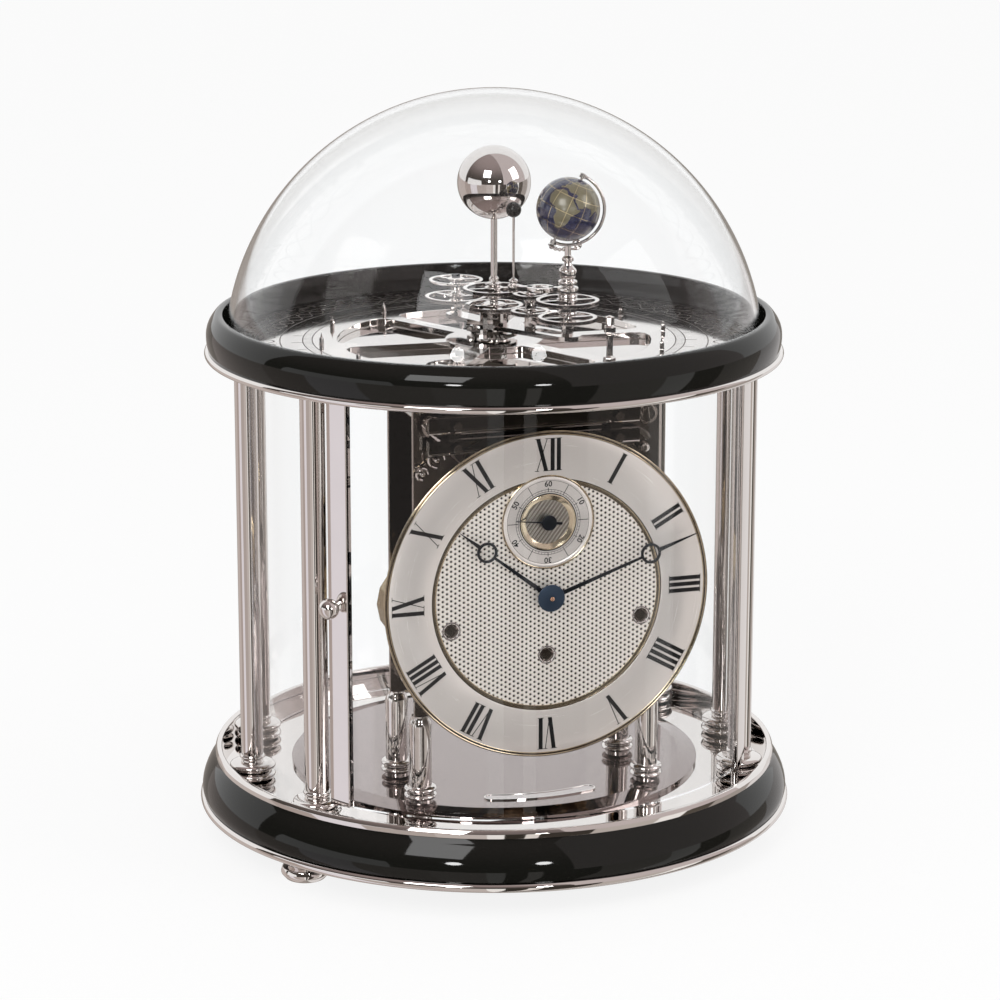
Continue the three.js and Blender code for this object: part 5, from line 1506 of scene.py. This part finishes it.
class CLOCK_OT_orrery(bpy.types.Operator):
    """Makes the sun, the moon and the earth on its stand"""

    bl_idname = "clock.orrery"
    bl_label = "Sun, earth and moon"

    def execute(self, context):
        x, y, *_ = reach("sun_globe")
        sun = [ball(SUN_RADIUS, (x, y, SUN_HEIGHT), 48, 96)]
        place("sun_ball", sun, shade("nickel"), "month_arbor", ["sun_globe"])
        x, y, _, low, high = reach("moon_globe")
        moon = [ball(MOON_RADIUS, (x, y, (low + high) / 2), 20, 32)]
        place("moon_ball", moon, shade("moon"), "moon_wheel", ["moon_globe"])
        globe_piece()
        self.axis_pins()
        self.stand()
        return {"FINISHED"}

    def axis_pins(self):
        """The pins at the earth's poles with a small nut at the lower one."""
        inside_globe = EARTH_RADIUS - 1 * MM
        upper = pin(0.7 * MM, inside_globe, HALF_RING_RADIUS + 0.9 * MM)
        lower = pin(0.7 * MM, -HALF_RING_RADIUS - 3.4 * MM, -inside_globe)
        nut = bead(0, 2.4 * MM, -HALF_RING_RADIUS - 2.8 * MM, -HALF_RING_RADIUS - 1.4 * MM, 8)
        shapes = [on_earth_axis(turned(profile, segments=20)) for profile in (upper, lower, nut)]
        place("earth_axis", shapes, shade("nickel"), "earth_globe")

    def stand(self):
        """The earth's turned stand on its wheel, with the half ring that holds the poles."""
        foot = 299.5
        top = EARTH_PLACE[2] - HALF_RING_RADIUS - 0.3 * MM
        corners = [
            (1.9, 280), (3.1, 280), (3.1, foot, 0.2), (5, foot + 0.4, 0.3), (5, foot + 2.4, 0.8),
            (3.2, foot + 3.2, 0.5), (4.5, foot + 5.2, 1.2), (4.6, foot + 8, 1.6), (2.4, foot + 10.6, 1.2),
            (1.9, foot + 12, 0.4), (3.1, foot + 13, 0.5), (3.1, foot + 14.4, 0.5), (1.7, foot + 15.6, 0.5),
            (1.7, top / MM), (0, top / MM),
        ]
        shapes = [collet(corners, EARTH_PLACE[:2], False, 40, 4)]
        span = math.pi / 2 - EARTH_TILT
        turn = span - np.linspace(0, math.pi, 49)
        arc = HALF_RING_RADIUS * np.stack([np.cos(turn), 0 * turn, np.sin(turn)], 1)
        shapes.append(moved(tube(arc, 0.85 * MM, 14), EARTH_PLACE, turn_z(EARTH_LEAN)))
        bore, outside, half = 1.0 * MM, 1.8 * MM, 1.1 * MM
        for pole in (HALF_RING_RADIUS, -HALF_RING_RADIUS):
            low, high = pole - half, pole + half
            bearing = [(bore, low), (outside, low), (outside, high), (bore, high)]
            shapes.append(on_earth_axis(turned(bearing, segments=24, closed=True)))
        stand_wheel = wheel(24, 15.3 * MM, STAND_PHASE, LOWER_LEVEL, 4)
        shapes += [moved(part, (*EARTH_PLACE[:2], 0)) for part in stand_wheel]
        shapes += self.cradle(top)
        place("earth_stand", shapes, shade("nickel"), "earth_turntable", ["earth_turntable"])

    def cradle(self, top):
        """A short arm with beads from the stand to the lower pole, and a scroll on the other side.

        The arm is a straight line of points, and the scroll a circle whose radius shrinks by half.
        """
        lean = turn_z(EARTH_LEAN)
        pole = np.array([-math.sin(EARTH_TILT), 0, -math.cos(EARTH_TILT)]) * (HALF_RING_RADIUS + 2.6 * MM)
        knot = np.array([0, 0, top - EARTH_PLACE[2] - 1.2 * MM])
        share = np.linspace(0, 1, 9)[:, None]
        sag = np.array([0, 0, -1.2 * MM]) * np.sin(math.pi * share)
        path = knot + (pole - knot) * share + sag
        shapes = [moved(tube(path, 0.55 * MM, 8), EARTH_PLACE, lean)]
        for i, size in ((1, 0.95), (2, 1.15), (4, 1.0), (6, 1.15), (8, 1.3)):
            shapes.append(moved(ball(size * MM, path[i], 10, 14), EARTH_PLACE, lean))
        turn = np.linspace(-math.pi / 2, 1.25 * TURN, 40)
        size = 2.6 * MM * (1 - 0.6 * np.linspace(0, 1, 40))
        centre = knot + np.array([4.4 * MM, 0, 2.0 * MM])
        scroll = centre + np.stack([size * np.cos(turn), 0 * turn, size * np.sin(turn)], 1)
        shapes.append(moved(tube(scroll, 0.5 * MM, 8), EARTH_PLACE, lean))
        link = np.stack([knot, (knot + scroll[0]) / 2 - np.array([0, 0, 0.3 * MM]), scroll[0]])
        shapes.append(moved(tube(link, 0.6 * MM, 8), EARTH_PLACE, lean))
        return shapes


# Movement

# Where the plate pillars stand, from the middle and from the ground
PILLAR_SPREAD = 57 * MM
PILLAR_HEIGHTS = (92 * MM, 238 * MM)


class CLOCK_OT_movement(bpy.types.Operator):
    """Makes the legs and finishes the plates, barrels, arbors and bars of the movement"""

    bl_idname = "clock.movement"
    bl_label = "Movement"

    def execute(self, context):
        low = MIRROR_TOP
        radius, collar = 6 * MM, 8.5 * MM
        profile = np.concatenate(
            [
                [(0, low), (radius + 0.6 * MM, low), (radius + 0.6 * MM, low + 1 * MM)],
                bead(radius, collar - radius, low + 1.2 * MM, low + 4.4 * MM, 8),
                bead(radius, collar - radius, low + 4.8 * MM, low + 8 * MM, 8),
                [(radius, low + 8.6 * MM), (radius, LEG_TOP - 5 * MM)],
                [(radius - 0.6 * MM, LEG_TOP - 3 * MM), (radius - 1.6 * MM, LEG_TOP - 1 * MM)],
                [(radius - 1.6 * MM, LEG_TOP), (0, LEG_TOP)],
            ]
        )
        for node in ("leg_front_left", "leg_front_right", "leg_back_left", "leg_back_right"):
            x, y, *_ = reach(node)
            place(f"{node}_turned", [turned(profile, (x, y), 48)], shade("nickel"), "case", [node])
        # The plates take the darker nickel: painted shade.
        for node in ("front_plate", "back_plate"):
            finish_node(node, shade("dark nickel"), 0.3 * MM)
        # The lever bars' polished steel is painted near black: painted shade.
        finish_node("lever_bridge", shade("dark steel"), 0)
        # The winding arbors take the darker nickel: painted shade.
        for node in ("strike", "going", "chime"):
            finish_node(f"{node}_barrel", shade("brass"), 0.2 * MM)
            finish_node(f"{node}_winding_arbor", shade("dark nickel"), 0.15 * MM)
        self.plate_screws()
        self.front_work()
        self.rear_work()
        return {"FINISHED"}

    def plate_screws(self):
        """Slotted screws with turned washers where the pillars and the bars meet the plates."""
        front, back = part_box("front_plate")[0].y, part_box("back_plate")[1].y
        washers, heads = [], []
        washer = collet([(2.4, 0), (5.6, 0), (5.6, 0.7, 0.3), (4.4, 1.5, 0.4), (2.4, 1.5), (2.4, 0)])
        for x in (-PILLAR_SPREAD, PILLAR_SPREAD):
            for z in PILLAR_HEIGHTS:
                for shape in screw(3.4 * MM, 2.2 * MM, 0.8 * MM, x * 20 + z * 9):
                    heads.append(moved(shape, (x, front - 3.3 * MM, z), FACING))
                    heads.append(moved(shape, (x, back + 1.2 * MM, z), BACKING))
                washers.append(moved(washer, (x, front - 2.2 * MM, z), FACING))
                washers.append(moved(washer, (x, back, z), BACKING))
        for x in (-46 * MM, 40 * MM):
            for z in (227.5 * MM, 239 * MM):
                for shape in screw(2.2 * MM, 1.4 * MM, 0.6 * MM, x * 30):
                    heads.append(moved(shape, (x, front - 9 * MM, z), FACING))
        # Washers and screw heads in the darker nickel: painted shade.
        place("plate_washers", washers, shade("dark nickel"), "case")
        place("plate_screw_heads", heads, shade("dark nickel"), "case", crease=28)

    def front_work(self):
        """Work in front of the front plate: nickel rods along the bars' edges as painted highlights, a rack,
        wire springs and hooks.
        """
        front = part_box("front_plate")[0].y
        low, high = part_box("lever_bridge")
        shapes = []
        # Bright nickel rods along the dark bars' edges stand in for their lit edges: painted highlights.
        depth = low.y + 0.9 * MM
        for z in (224.4 * MM, 235.4 * MM, 242.7 * MM):
            edge = [(low.x, depth, z), ((low.x + high.x) / 2, depth, z + 1e-5), (high.x, depth, z)]
            shapes.append(tube(edge, 0.7 * MM, 8))
        for step in range(5):
            start = np.array([-63 + step * 2.1, 0, 240 - step * 2]) * MM + (0, front, 0)
            wire = [start + np.array(way) * MM for way in ((0, -3, 0), (6, -3.6, -7), (12.5, -3, -14.5))]
            shapes.append(tube(wire, 0.42 * MM, 8))
        turn = np.linspace(0, 1.5 * math.pi, 24)
        for x, z, size in ((-55, 221, 4.2), (-62.5, 214, 3.0)):
            across, up = (x + size * np.cos(turn)) * MM, (z + size * np.sin(turn)) * MM
            hook = np.stack([across, 0 * turn + front - 2 * MM, up], 1)
            shapes.append(tube(hook, 0.8 * MM, 8))
        posts = ((-55, 221, 1.6), (-62.5, 214, 1.3), (48, 216, 2.4), (56, 220, 2.4), (-36, 219, 1.8))
        for x, z, radius in posts:
            corners = [(0, -0.5), (radius, -0.5), (radius, 3.2, 0.3), (radius * 0.6, 4.2, 0.3), (0, 4.2)]
            post = collet(corners, closed=False)
            shapes.append(moved(post, (x * MM, front, z * MM), FACING))
        rack_turn = np.radians(np.linspace(20, 160, 57))
        reach_out = (9 + 0.55 * (np.arange(57) % 2)) * MM
        outer = np.stack([reach_out * np.cos(rack_turn), reach_out * np.sin(rack_turn)], 1)
        inner = 6.4 * MM * np.stack([np.cos(rack_turn[::-1]), np.sin(rack_turn[::-1])], 1)
        rack = prism(np.concatenate([outer, inner]), 2.2 * MM, 3.6 * MM, 0.1 * MM)
        shapes.append(moved(rack, (50 * MM, front, 222 * MM), FACING))
        place("front_work", shapes, shade("nickel"), "case")

    def rear_work(self):
        """Work behind the back plate: three ratchets with their clicks, a bridge and a row of bushes."""
        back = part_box("back_plate")[1].y
        steel, bright, gilt = [], [], []
        turn = np.arange(72) * TURN / 72
        edge = (8.2 + 0.5 * ((np.arange(72) % 3) - 1)) * MM
        teeth = prism(np.stack([edge * np.cos(turn), edge * np.sin(turn)], 1), 0.5 * MM, 2.0 * MM, 0.1 * MM)
        cap = collet([(0, 1.5), (3.6, 1.5), (3.6, 3.0, 0.4), (2.2, 3.8, 0.3), (0, 3.8)], closed=False)
        click = round_arm((11 * MM, 2 * MM), (8.9 * MM, 9 * MM), 2.6 * MM, 0.2 * MM, 1.8 * MM)
        for name, (x, up) in zip(("strike", "going", "chime"), WINDING_SPOTS):
            spot = (x, back, DIAL_HEIGHT + up)
            ratchet = [moved(teeth, spot, BACKING), moved(cap, spot, BACKING)]
            place(f"{name}_ratchet", ratchet, shade("nickel"), f"{name}_winding_arbor")
            bright.append(moved(click, spot, BACKING))
        bridge_height = 205 * MM
        bridge = round_arm((-34 * MM, 0), (34 * MM, 0), 13 * MM, 5 * MM, 7.4 * MM, 0.5 * MM)
        bright.append(moved(bridge, (0, back, bridge_height), BACKING))
        for x in (-30, 30):
            foot = collet([(0, -0.2), (4.6, -0.2), (4.6, 5.2, 0.4), (0, 5.2)], closed=False)
            bright.append(moved(foot, (x * MM, back, bridge_height), BACKING))
            for shape in screw(2.6 * MM, 1.6 * MM, 0.7 * MM, 0.5):
                steel.append(moved(shape, (x * MM, back + 7.3 * MM, bridge_height), BACKING))
        bush = collet([(0.7, -0.1), (3.1, -0.1), (3.1, 0.5, 0.2), (1.3, 0.5, 0.1), (0.7, 0.1), (0.7, -0.1)])
        for x, z in ((-40, 178), (-22, 160), (0, 172), (22, 160), (40, 178), (0, 226)):
            gilt.append(moved(bush, (x * MM, back, z * MM), BACKING))
        for x in (-14, 14):
            gilt.append(moved(bush, (x * MM, back + 7.3 * MM, bridge_height), BACKING))
        place("rear_screws", steel, shade("blued"), "case")
        place("rear_bridge", bright, shade("nickel"), "case")
        place("pivot_bushes", gilt, shade("gilt"), "case")


# Dial


STROKE = 2.15 * MM
HAIR = 0.42 * MM
SERIF = 0.32 * MM
NUMERAL_HEIGHT = 17 * MM
NUMERAL_MIDDLE = 74 * MM
NUMERALS = ["XII", "I", "II", "III", "IIII", "V", "VI", "VII", "VIII", "IX", "X", "XI"]
# Each letter's width, its strokes as top, foot and width, and its serifs at the top and the foot
LETTERS = {
    "I": (3.3 * MM, [(1.65 * MM, 1.65 * MM, STROKE)], [(0, 3.3 * MM)], [(0, 3.3 * MM)]),
    "V": (
        7.2 * MM,
        [(1.7 * MM, 3.9 * MM, STROKE), (6.3 * MM, 4.2 * MM, HAIR)],
        [(0, 3.3 * MM), (5.2 * MM, 7.2 * MM)],
        [],
    ),
    "X": (
        7.8 * MM,
        [(1.7 * MM, 6.1 * MM, STROKE), (6.6 * MM, 1.2 * MM, HAIR)],
        [(0, 3.3 * MM), (5.5 * MM, 7.8 * MM)],
        [(0, 2.3 * MM), (4.5 * MM, 7.8 * MM)],
    ),
}


def strip(foot, top, width, low, high):
    """The four corners of a stroke of a width between two levels, whose middle runs from foot to top."""
    half = width / 2
    return [(foot - half, low), (foot + half, low), (top + half, high), (top - half, high)]


def numeral_shapes():
    """All twelve numerals, feet towards the middle, each turned to its hour.

    A stroke is a straight strip whose ends lie level on the numeral's two lines.
    """
    low, high = DIAL_FRONT - 0.02 * MM, DIAL_FRONT + 0.05 * MM
    half = NUMERAL_HEIGHT / 2
    shapes = []
    for hour, word in enumerate(NUMERALS):
        x, flats = 0.0, []
        for kind in word:
            width, strokes, tops, feet = LETTERS[kind]
            for top, foot, wide in strokes:
                flats.append(strip(x + foot, x + top, wide, -half, half))
            for ends, level in ((tops, half - SERIF), (feet, -half)):
                for start, end in ends:
                    middle = x + (start + end) / 2
                    flats.append(strip(middle, middle, end - start, level, level + SERIF))
            x += width
        squeeze = min(1.0, 16.2 * MM / x)
        for flat in flats:
            outline = (np.array(flat) - (x / 2, 0)) * (squeeze, 1) + (0, NUMERAL_MIDDLE)
            shapes.append(faced(prism(outline, low, high), turn=30 * hour))
    return shapes


def flat_ring(inner, outer, low, high, bevel, segments=160):
    """A flat ring with lightly rounded edges."""
    corners = [(inner, low), (outer, low), (outer, high, bevel), (inner, high, bevel), (inner, low)]
    return turned(rounded(corners, 3)[:-1], segments=segments, closed=True)


class CLOCK_OT_dial(bpy.types.Operator):
    """Makes the chapter ring with its numerals, the engine-turned centre and the seconds dial"""

    bl_idname = "clock.dial"
    bl_label = "Dial"

    def execute(self, context):
        back = DIAL_FRONT - 1.2 * MM
        chapter = flat_ring(CHAPTER_INNER, DIAL_RADIUS - 2.2 * MM, back, DIAL_FRONT, 0.2 * MM, 180)
        centre = (0, DIAL_HEIGHT)
        place("chapter_silver", [faced(chapter)], shade("chapter"), "case", ["chapter_ring"], flow=centre)
        rims = [
            faced(ring(DIAL_RADIUS - 0.6 * MM, 0.55 * MM, DIAL_FRONT - 0.3 * MM, segments=180)),
            faced(ring(DIAL_RADIUS - 2.1 * MM, 0.4 * MM, DIAL_FRONT - 0.1 * MM, segments=180)),
            faced(flat_ring(CHAPTER_INNER - 2.5 * MM, CHAPTER_INNER, back, back + 0.4 * MM, 0.15 * MM, 160)),
        ]
        # A groove behind the gilt rims and a thin ring at the chapter's inner edge, both in the darker
        # nickel: painted shade.
        painted_shade_groove = flat_ring(DIAL_RADIUS - 3 * MM, DIAL_RADIUS - 0.3 * MM, back, DIAL_FRONT - 0.3 * MM, 0, 180)
        edge = flat_ring(CHAPTER_INNER - 0.45 * MM, CHAPTER_INNER, back, back + 0.55 * MM, 0, 160)
        place("dial_grooves", [faced(painted_shade_groove), faced(edge)], shade("dark nickel"), "case")
        place("dial_rims", rims, shade("gilt"), "case")
        place("numerals", numeral_shapes(), shade("ink"), "case")
        finish_node("dial_centre", shade("basket"), 0)
        self.bushes()
        self.seconds_dial(back)
        return {"FINISHED"}

    def bushes(self):
        """Turned rings in the winding holes."""
        level = DIAL_FRONT / MM - 1.2
        bush = collet([
            (3, level - 1.45), (4.9, level - 0.05), (4.9, level + 0.3, 0.15), (4.3, level + 0.3, 0.15),
            (3, level - 1.3), (3, level - 1.45),
        ], segments=40)
        shapes = [faced(bush, *spot) for spot in WINDING_SPOTS]
        place("winding_bushes", shapes, shade("satin"), "case")

    def seconds_dial(self, back):
        """Two gilt rings round a brushed one with its marks, and a ruled disc in the middle."""
        front = DIAL_FRONT + 0.4 * MM
        up = SECONDS_OFFSET
        centre = (0, DIAL_HEIGHT + up)
        shapes = [faced(ring(SECONDS_RADIUS - 0.5 * MM, 0.5 * MM, front - 0.45 * MM, segments=96), 0, up)]
        low, high = back / MM, front / MM
        inner_rim = collet([
            (11.5, low), (14.7, low), (14.7, high - 0.2, 0.2), (14, high, 0.3), (11.5, low + 0.6, 0.2),
            (11.5, low),
        ], segments=96, steps=4)
        shapes.append(faced(inner_rim, 0, up))
        place("seconds_rims", shapes, shade("gilt"), "case", ["seconds_dial"])
        level = front - 0.3 * MM
        wide, flat = SECONDS_RADIUS / MM, level / MM
        plate = collet([
            (14.9, low), (wide - 0.4, low), (wide - 0.4, high - 0.6, 0.2), (wide - 1.9, high + 0.1, 0.4),
            (wide - 2.9, flat, 0.1), (14.9, flat), (14.9, low),
        ], segments=96, steps=4)
        place("seconds_silver", [faced(plate, 0, up)], shade("seconds"), "case", flow=centre)
        disc = flat_ring(0.9 * MM, 11.6 * MM, back, back + 0.25 * MM, 0, 64)
        place("seconds_centre", [faced(disc, 0, up)], shade("ruled"), "case")
        marks = []
        top = level + 0.03 * MM
        for radius, half in ((14.95, 0.25), (15.9, 0.11), (17.1, 0.11), (21.8, 0.11)):
            inner, outer = (radius - half) * MM, (radius + half) * MM
            marks.append(faced(flat_ring(inner, outer, level - 0.1 * MM, top, 0, 96), 0, up))
        for step in range(60):
            long = step % 5 == 0
            plain = long and step % 10 != 0
            start, end = 15.9 * MM, (21.5 * MM if plain else 18.0 * MM if long else 17.1 * MM)
            width = 0.34 * MM if long else 0.14 * MM
            mark = bar((0, start), (0, end), width, width, level - 0.1 * MM, top)
            marks.append(faced(mark, 0, up, 6 * step))
        place("seconds_marks", marks, shade("ink"), "case")
        self.seconds_numbers(level, up)

    def seconds_numbers(self, level, up):
        """The numbers 10 to 60 round the seconds dial, their feet towards its middle."""
        for number in range(10, 61, 10):
            curve = bpy.data.curves.new(f"seconds_{number}", "FONT")
            curve.body = str(number)
            curve.size = 4.1 * MM
            curve.offset = 0.07 * MM
            curve.align_x = "CENTER"
            curve.align_y = "CENTER"
            curve.extrude = 0.04 * MM
            curve.resolution_u = 3
            text = add_object(f"seconds_{number}", curve)
            bpy.context.view_layer.update()
            depsgraph = bpy.context.evaluated_depsgraph_get()
            mesh = bpy.data.meshes.new_from_object(text.evaluated_get(depsgraph))
            bpy.data.objects.remove(text)
            spots = np.empty(len(mesh.vertices) * 3, np.float32)
            mesh.vertices.foreach_get("co", spots)
            points = spots.reshape(-1, 3).astype(float)
            points += np.array((0, 19.9 * MM, level + 0.02 * MM))
            points, _ = faced((points, []), 0, up, number * 6)
            mesh.vertices.foreach_set("co", points.astype(np.float32).ravel())
            dress(f"seconds_number_{number}", mesh, shade("ink"), "case")


# Hands


def open_hand(length, ring_at, hub_radius, width, level, thickness):
    """A tapered bar from the hub to an open ring, and a point beyond it."""
    top = level + thickness
    inner, outer, edge = HAND_RING - 1.4 * MM, HAND_RING, 0.2 * MM
    corners = [(inner, level), (outer, level), (outer, top, edge), (inner, top, edge), (inner, level)]
    inner_end, outer_end = ring_at - outer + 0.8 * MM, ring_at + outer - 0.6 * MM
    return [
        turned(pin(hub_radius, level, top), segments=40),
        bar((0, hub_radius * 0.7), (0, inner_end), width, 1.3 * MM, level, top, 0.12 * MM),
        bar((0, outer_end), (0, length), 2.1 * MM, 0.35 * MM, level, top, 0.1 * MM),
        turned(rounded(corners, 2)[:-1], (0, ring_at), 40, True),
    ]


class CLOCK_OT_hands(bpy.types.Operator):
    """Makes the hour, minute and seconds hands"""

    bl_idname = "clock.hands"
    bl_label = "Hands"

    def execute(self, context):
        plate_front = -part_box("front_plate")[0].y
        minute_level, hour_level, seconds_level = (DIAL_FRONT + step * MM for step in (5, 3, 1.6))
        thickness = 0.7 * MM
        shapes = open_hand(83 * MM, 57 * MM, 4 * MM, 2.3 * MM, minute_level, thickness)
        top = minute_level + thickness
        shapes.append(turned(pin(1.2 * MM, ARBOR_END, top), segments=16))
        faced_shapes = [faced(shape, 0, 0, MINUTE_TURN) for shape in shapes]
        place("minute_pointer", faced_shapes, shade("blued"), "minute_hand", ["minute_hand"])
        rise = top / MM
        cap = collet([
            (0, rise - 0.1), (7.1, rise - 0.1), (7.1, rise + 0.7, 0.3), (2.2, rise + 1.4, 0.3),
            (0, rise + 1.4),
        ], closed=False, segments=48, steps=4)
        place("minute_cap", [faced(cap)], shade("blue cap"), "minute_hand")
        nut = collet([
            (0, rise + 1.4), (1.2, rise + 1.4), (1.2, rise + 2.2, 0.4), (0, rise + 2.5),
        ], closed=False, segments=24, steps=4)
        place("minute_nut", [faced(nut)], shade("copper"), "minute_hand")

        shapes = open_hand(60.3 * MM, 42.2 * MM, 5.2 * MM, 2.4 * MM, hour_level, thickness)
        bore, outside, top = 1.5 * MM, 2.7 * MM, hour_level + 0.2 * MM
        pipe = [(bore, plate_front), (outside, plate_front), (outside, top), (bore, top)]
        shapes.append(turned(pipe, segments=24, closed=True))
        faced_shapes = [faced(shape, 0, 0, HOUR_TURN) for shape in shapes]
        place("hour_pointer", faced_shapes, shade("blued"), "hour_hand", ["hour_hand"])

        level, top = seconds_level, seconds_level + 0.5 * MM
        hub = [
            (0, level),
            (4 * MM, level),
            (4 * MM, top + 0.2 * MM),
            (3 * MM, top + 0.5 * MM),
            (0, top + 0.5 * MM),
        ]
        shapes = [
            bar((0, -7 * MM), (0, 0), 1.5 * MM, 1.2 * MM, level, top),
            bar((0, 0), (0, 17.8 * MM), 1.0 * MM, 0.35 * MM, level, top),
            turned(hub, segments=32),
            turned(pin(0.7 * MM, ARBOR_END, level), segments=12),
        ]
        faced_shapes = [faced(shape, 0, SECONDS_OFFSET, SECONDS_TURN) for shape in shapes]
        place("seconds_pointer", faced_shapes, shade("blued"), "seconds_hand", ["seconds_hand"])
        return {"FINISHED"}


# Settings, panel and registration


class ClockSizes(bpy.types.PropertyGroup):
    """Sizes that a user would change"""

    column_radius: bpy.props.FloatProperty(
        name="Column radius",
        description="Radius of the columns' plain shafts",
        default=COLUMN_RADIUS,
        unit="LENGTH",
    )


class ClockFinish(bpy.types.PropertyGroup):
    """Colours and the level of light"""

    nickel: bpy.props.FloatVectorProperty(
        name="Nickel",
        description="Colour of the polished nickel",
        default=(0.80, 0.765, 0.745),
        subtype="COLOR",
    )
    lacquer: bpy.props.FloatVectorProperty(
        name="Lacquer",
        description="Colour of the lacquered plinth and ring",
        default=(0.005, 0.005, 0.004),
        subtype="COLOR",
    )
    light: bpy.props.FloatProperty(
        name="Light",
        description="Level of the studio lamps",
        default=1.0,
        min=0.0,
    )


OPERATORS = [
    CLOCK_OT_stage,
    CLOCK_OT_base,
    CLOCK_OT_columns,
    CLOCK_OT_panes,
    CLOCK_OT_door,
    CLOCK_OT_top,
    CLOCK_OT_train,
    CLOCK_OT_orrery,
    CLOCK_OT_movement,
    CLOCK_OT_dial,
    CLOCK_OT_hands,
]


class CLOCK_PT_panel(bpy.types.Panel):
    """Lists the clock's pieces and settings"""

    bl_idname = "CLOCK_PT_panel"
    bl_label = "Table clock"
    bl_space_type = "VIEW_3D"
    bl_region_type = "UI"
    bl_category = "Clock"

    def draw(self, context):
        layout = self.layout
        scene = context.scene
        layout.prop(scene.clock_sizes, "column_radius")
        for key in ("nickel", "lacquer", "light"):
            layout.prop(scene.clock_finish, key)
        for operator in OPERATORS:
            layout.operator(operator.bl_idname)


CLASSES = [ClockSizes, ClockFinish, *OPERATORS, CLOCK_PT_panel]


def register():
    for item in CLASSES:
        bpy.utils.register_class(item)
    bpy.types.Scene.clock_sizes = bpy.props.PointerProperty(type=ClockSizes)
    bpy.types.Scene.clock_finish = bpy.props.PointerProperty(type=ClockFinish)


def unregister():
    del bpy.types.Scene.clock_finish
    del bpy.types.Scene.clock_sizes
    for item in reversed(CLASSES):
        bpy.utils.unregister_class(item)


def main():
    register()
    for operator in OPERATORS:
        group, name = operator.bl_idname.split(".")
        getattr(getattr(bpy.ops, group), name)()


if __name__ == "__main__":
    main()
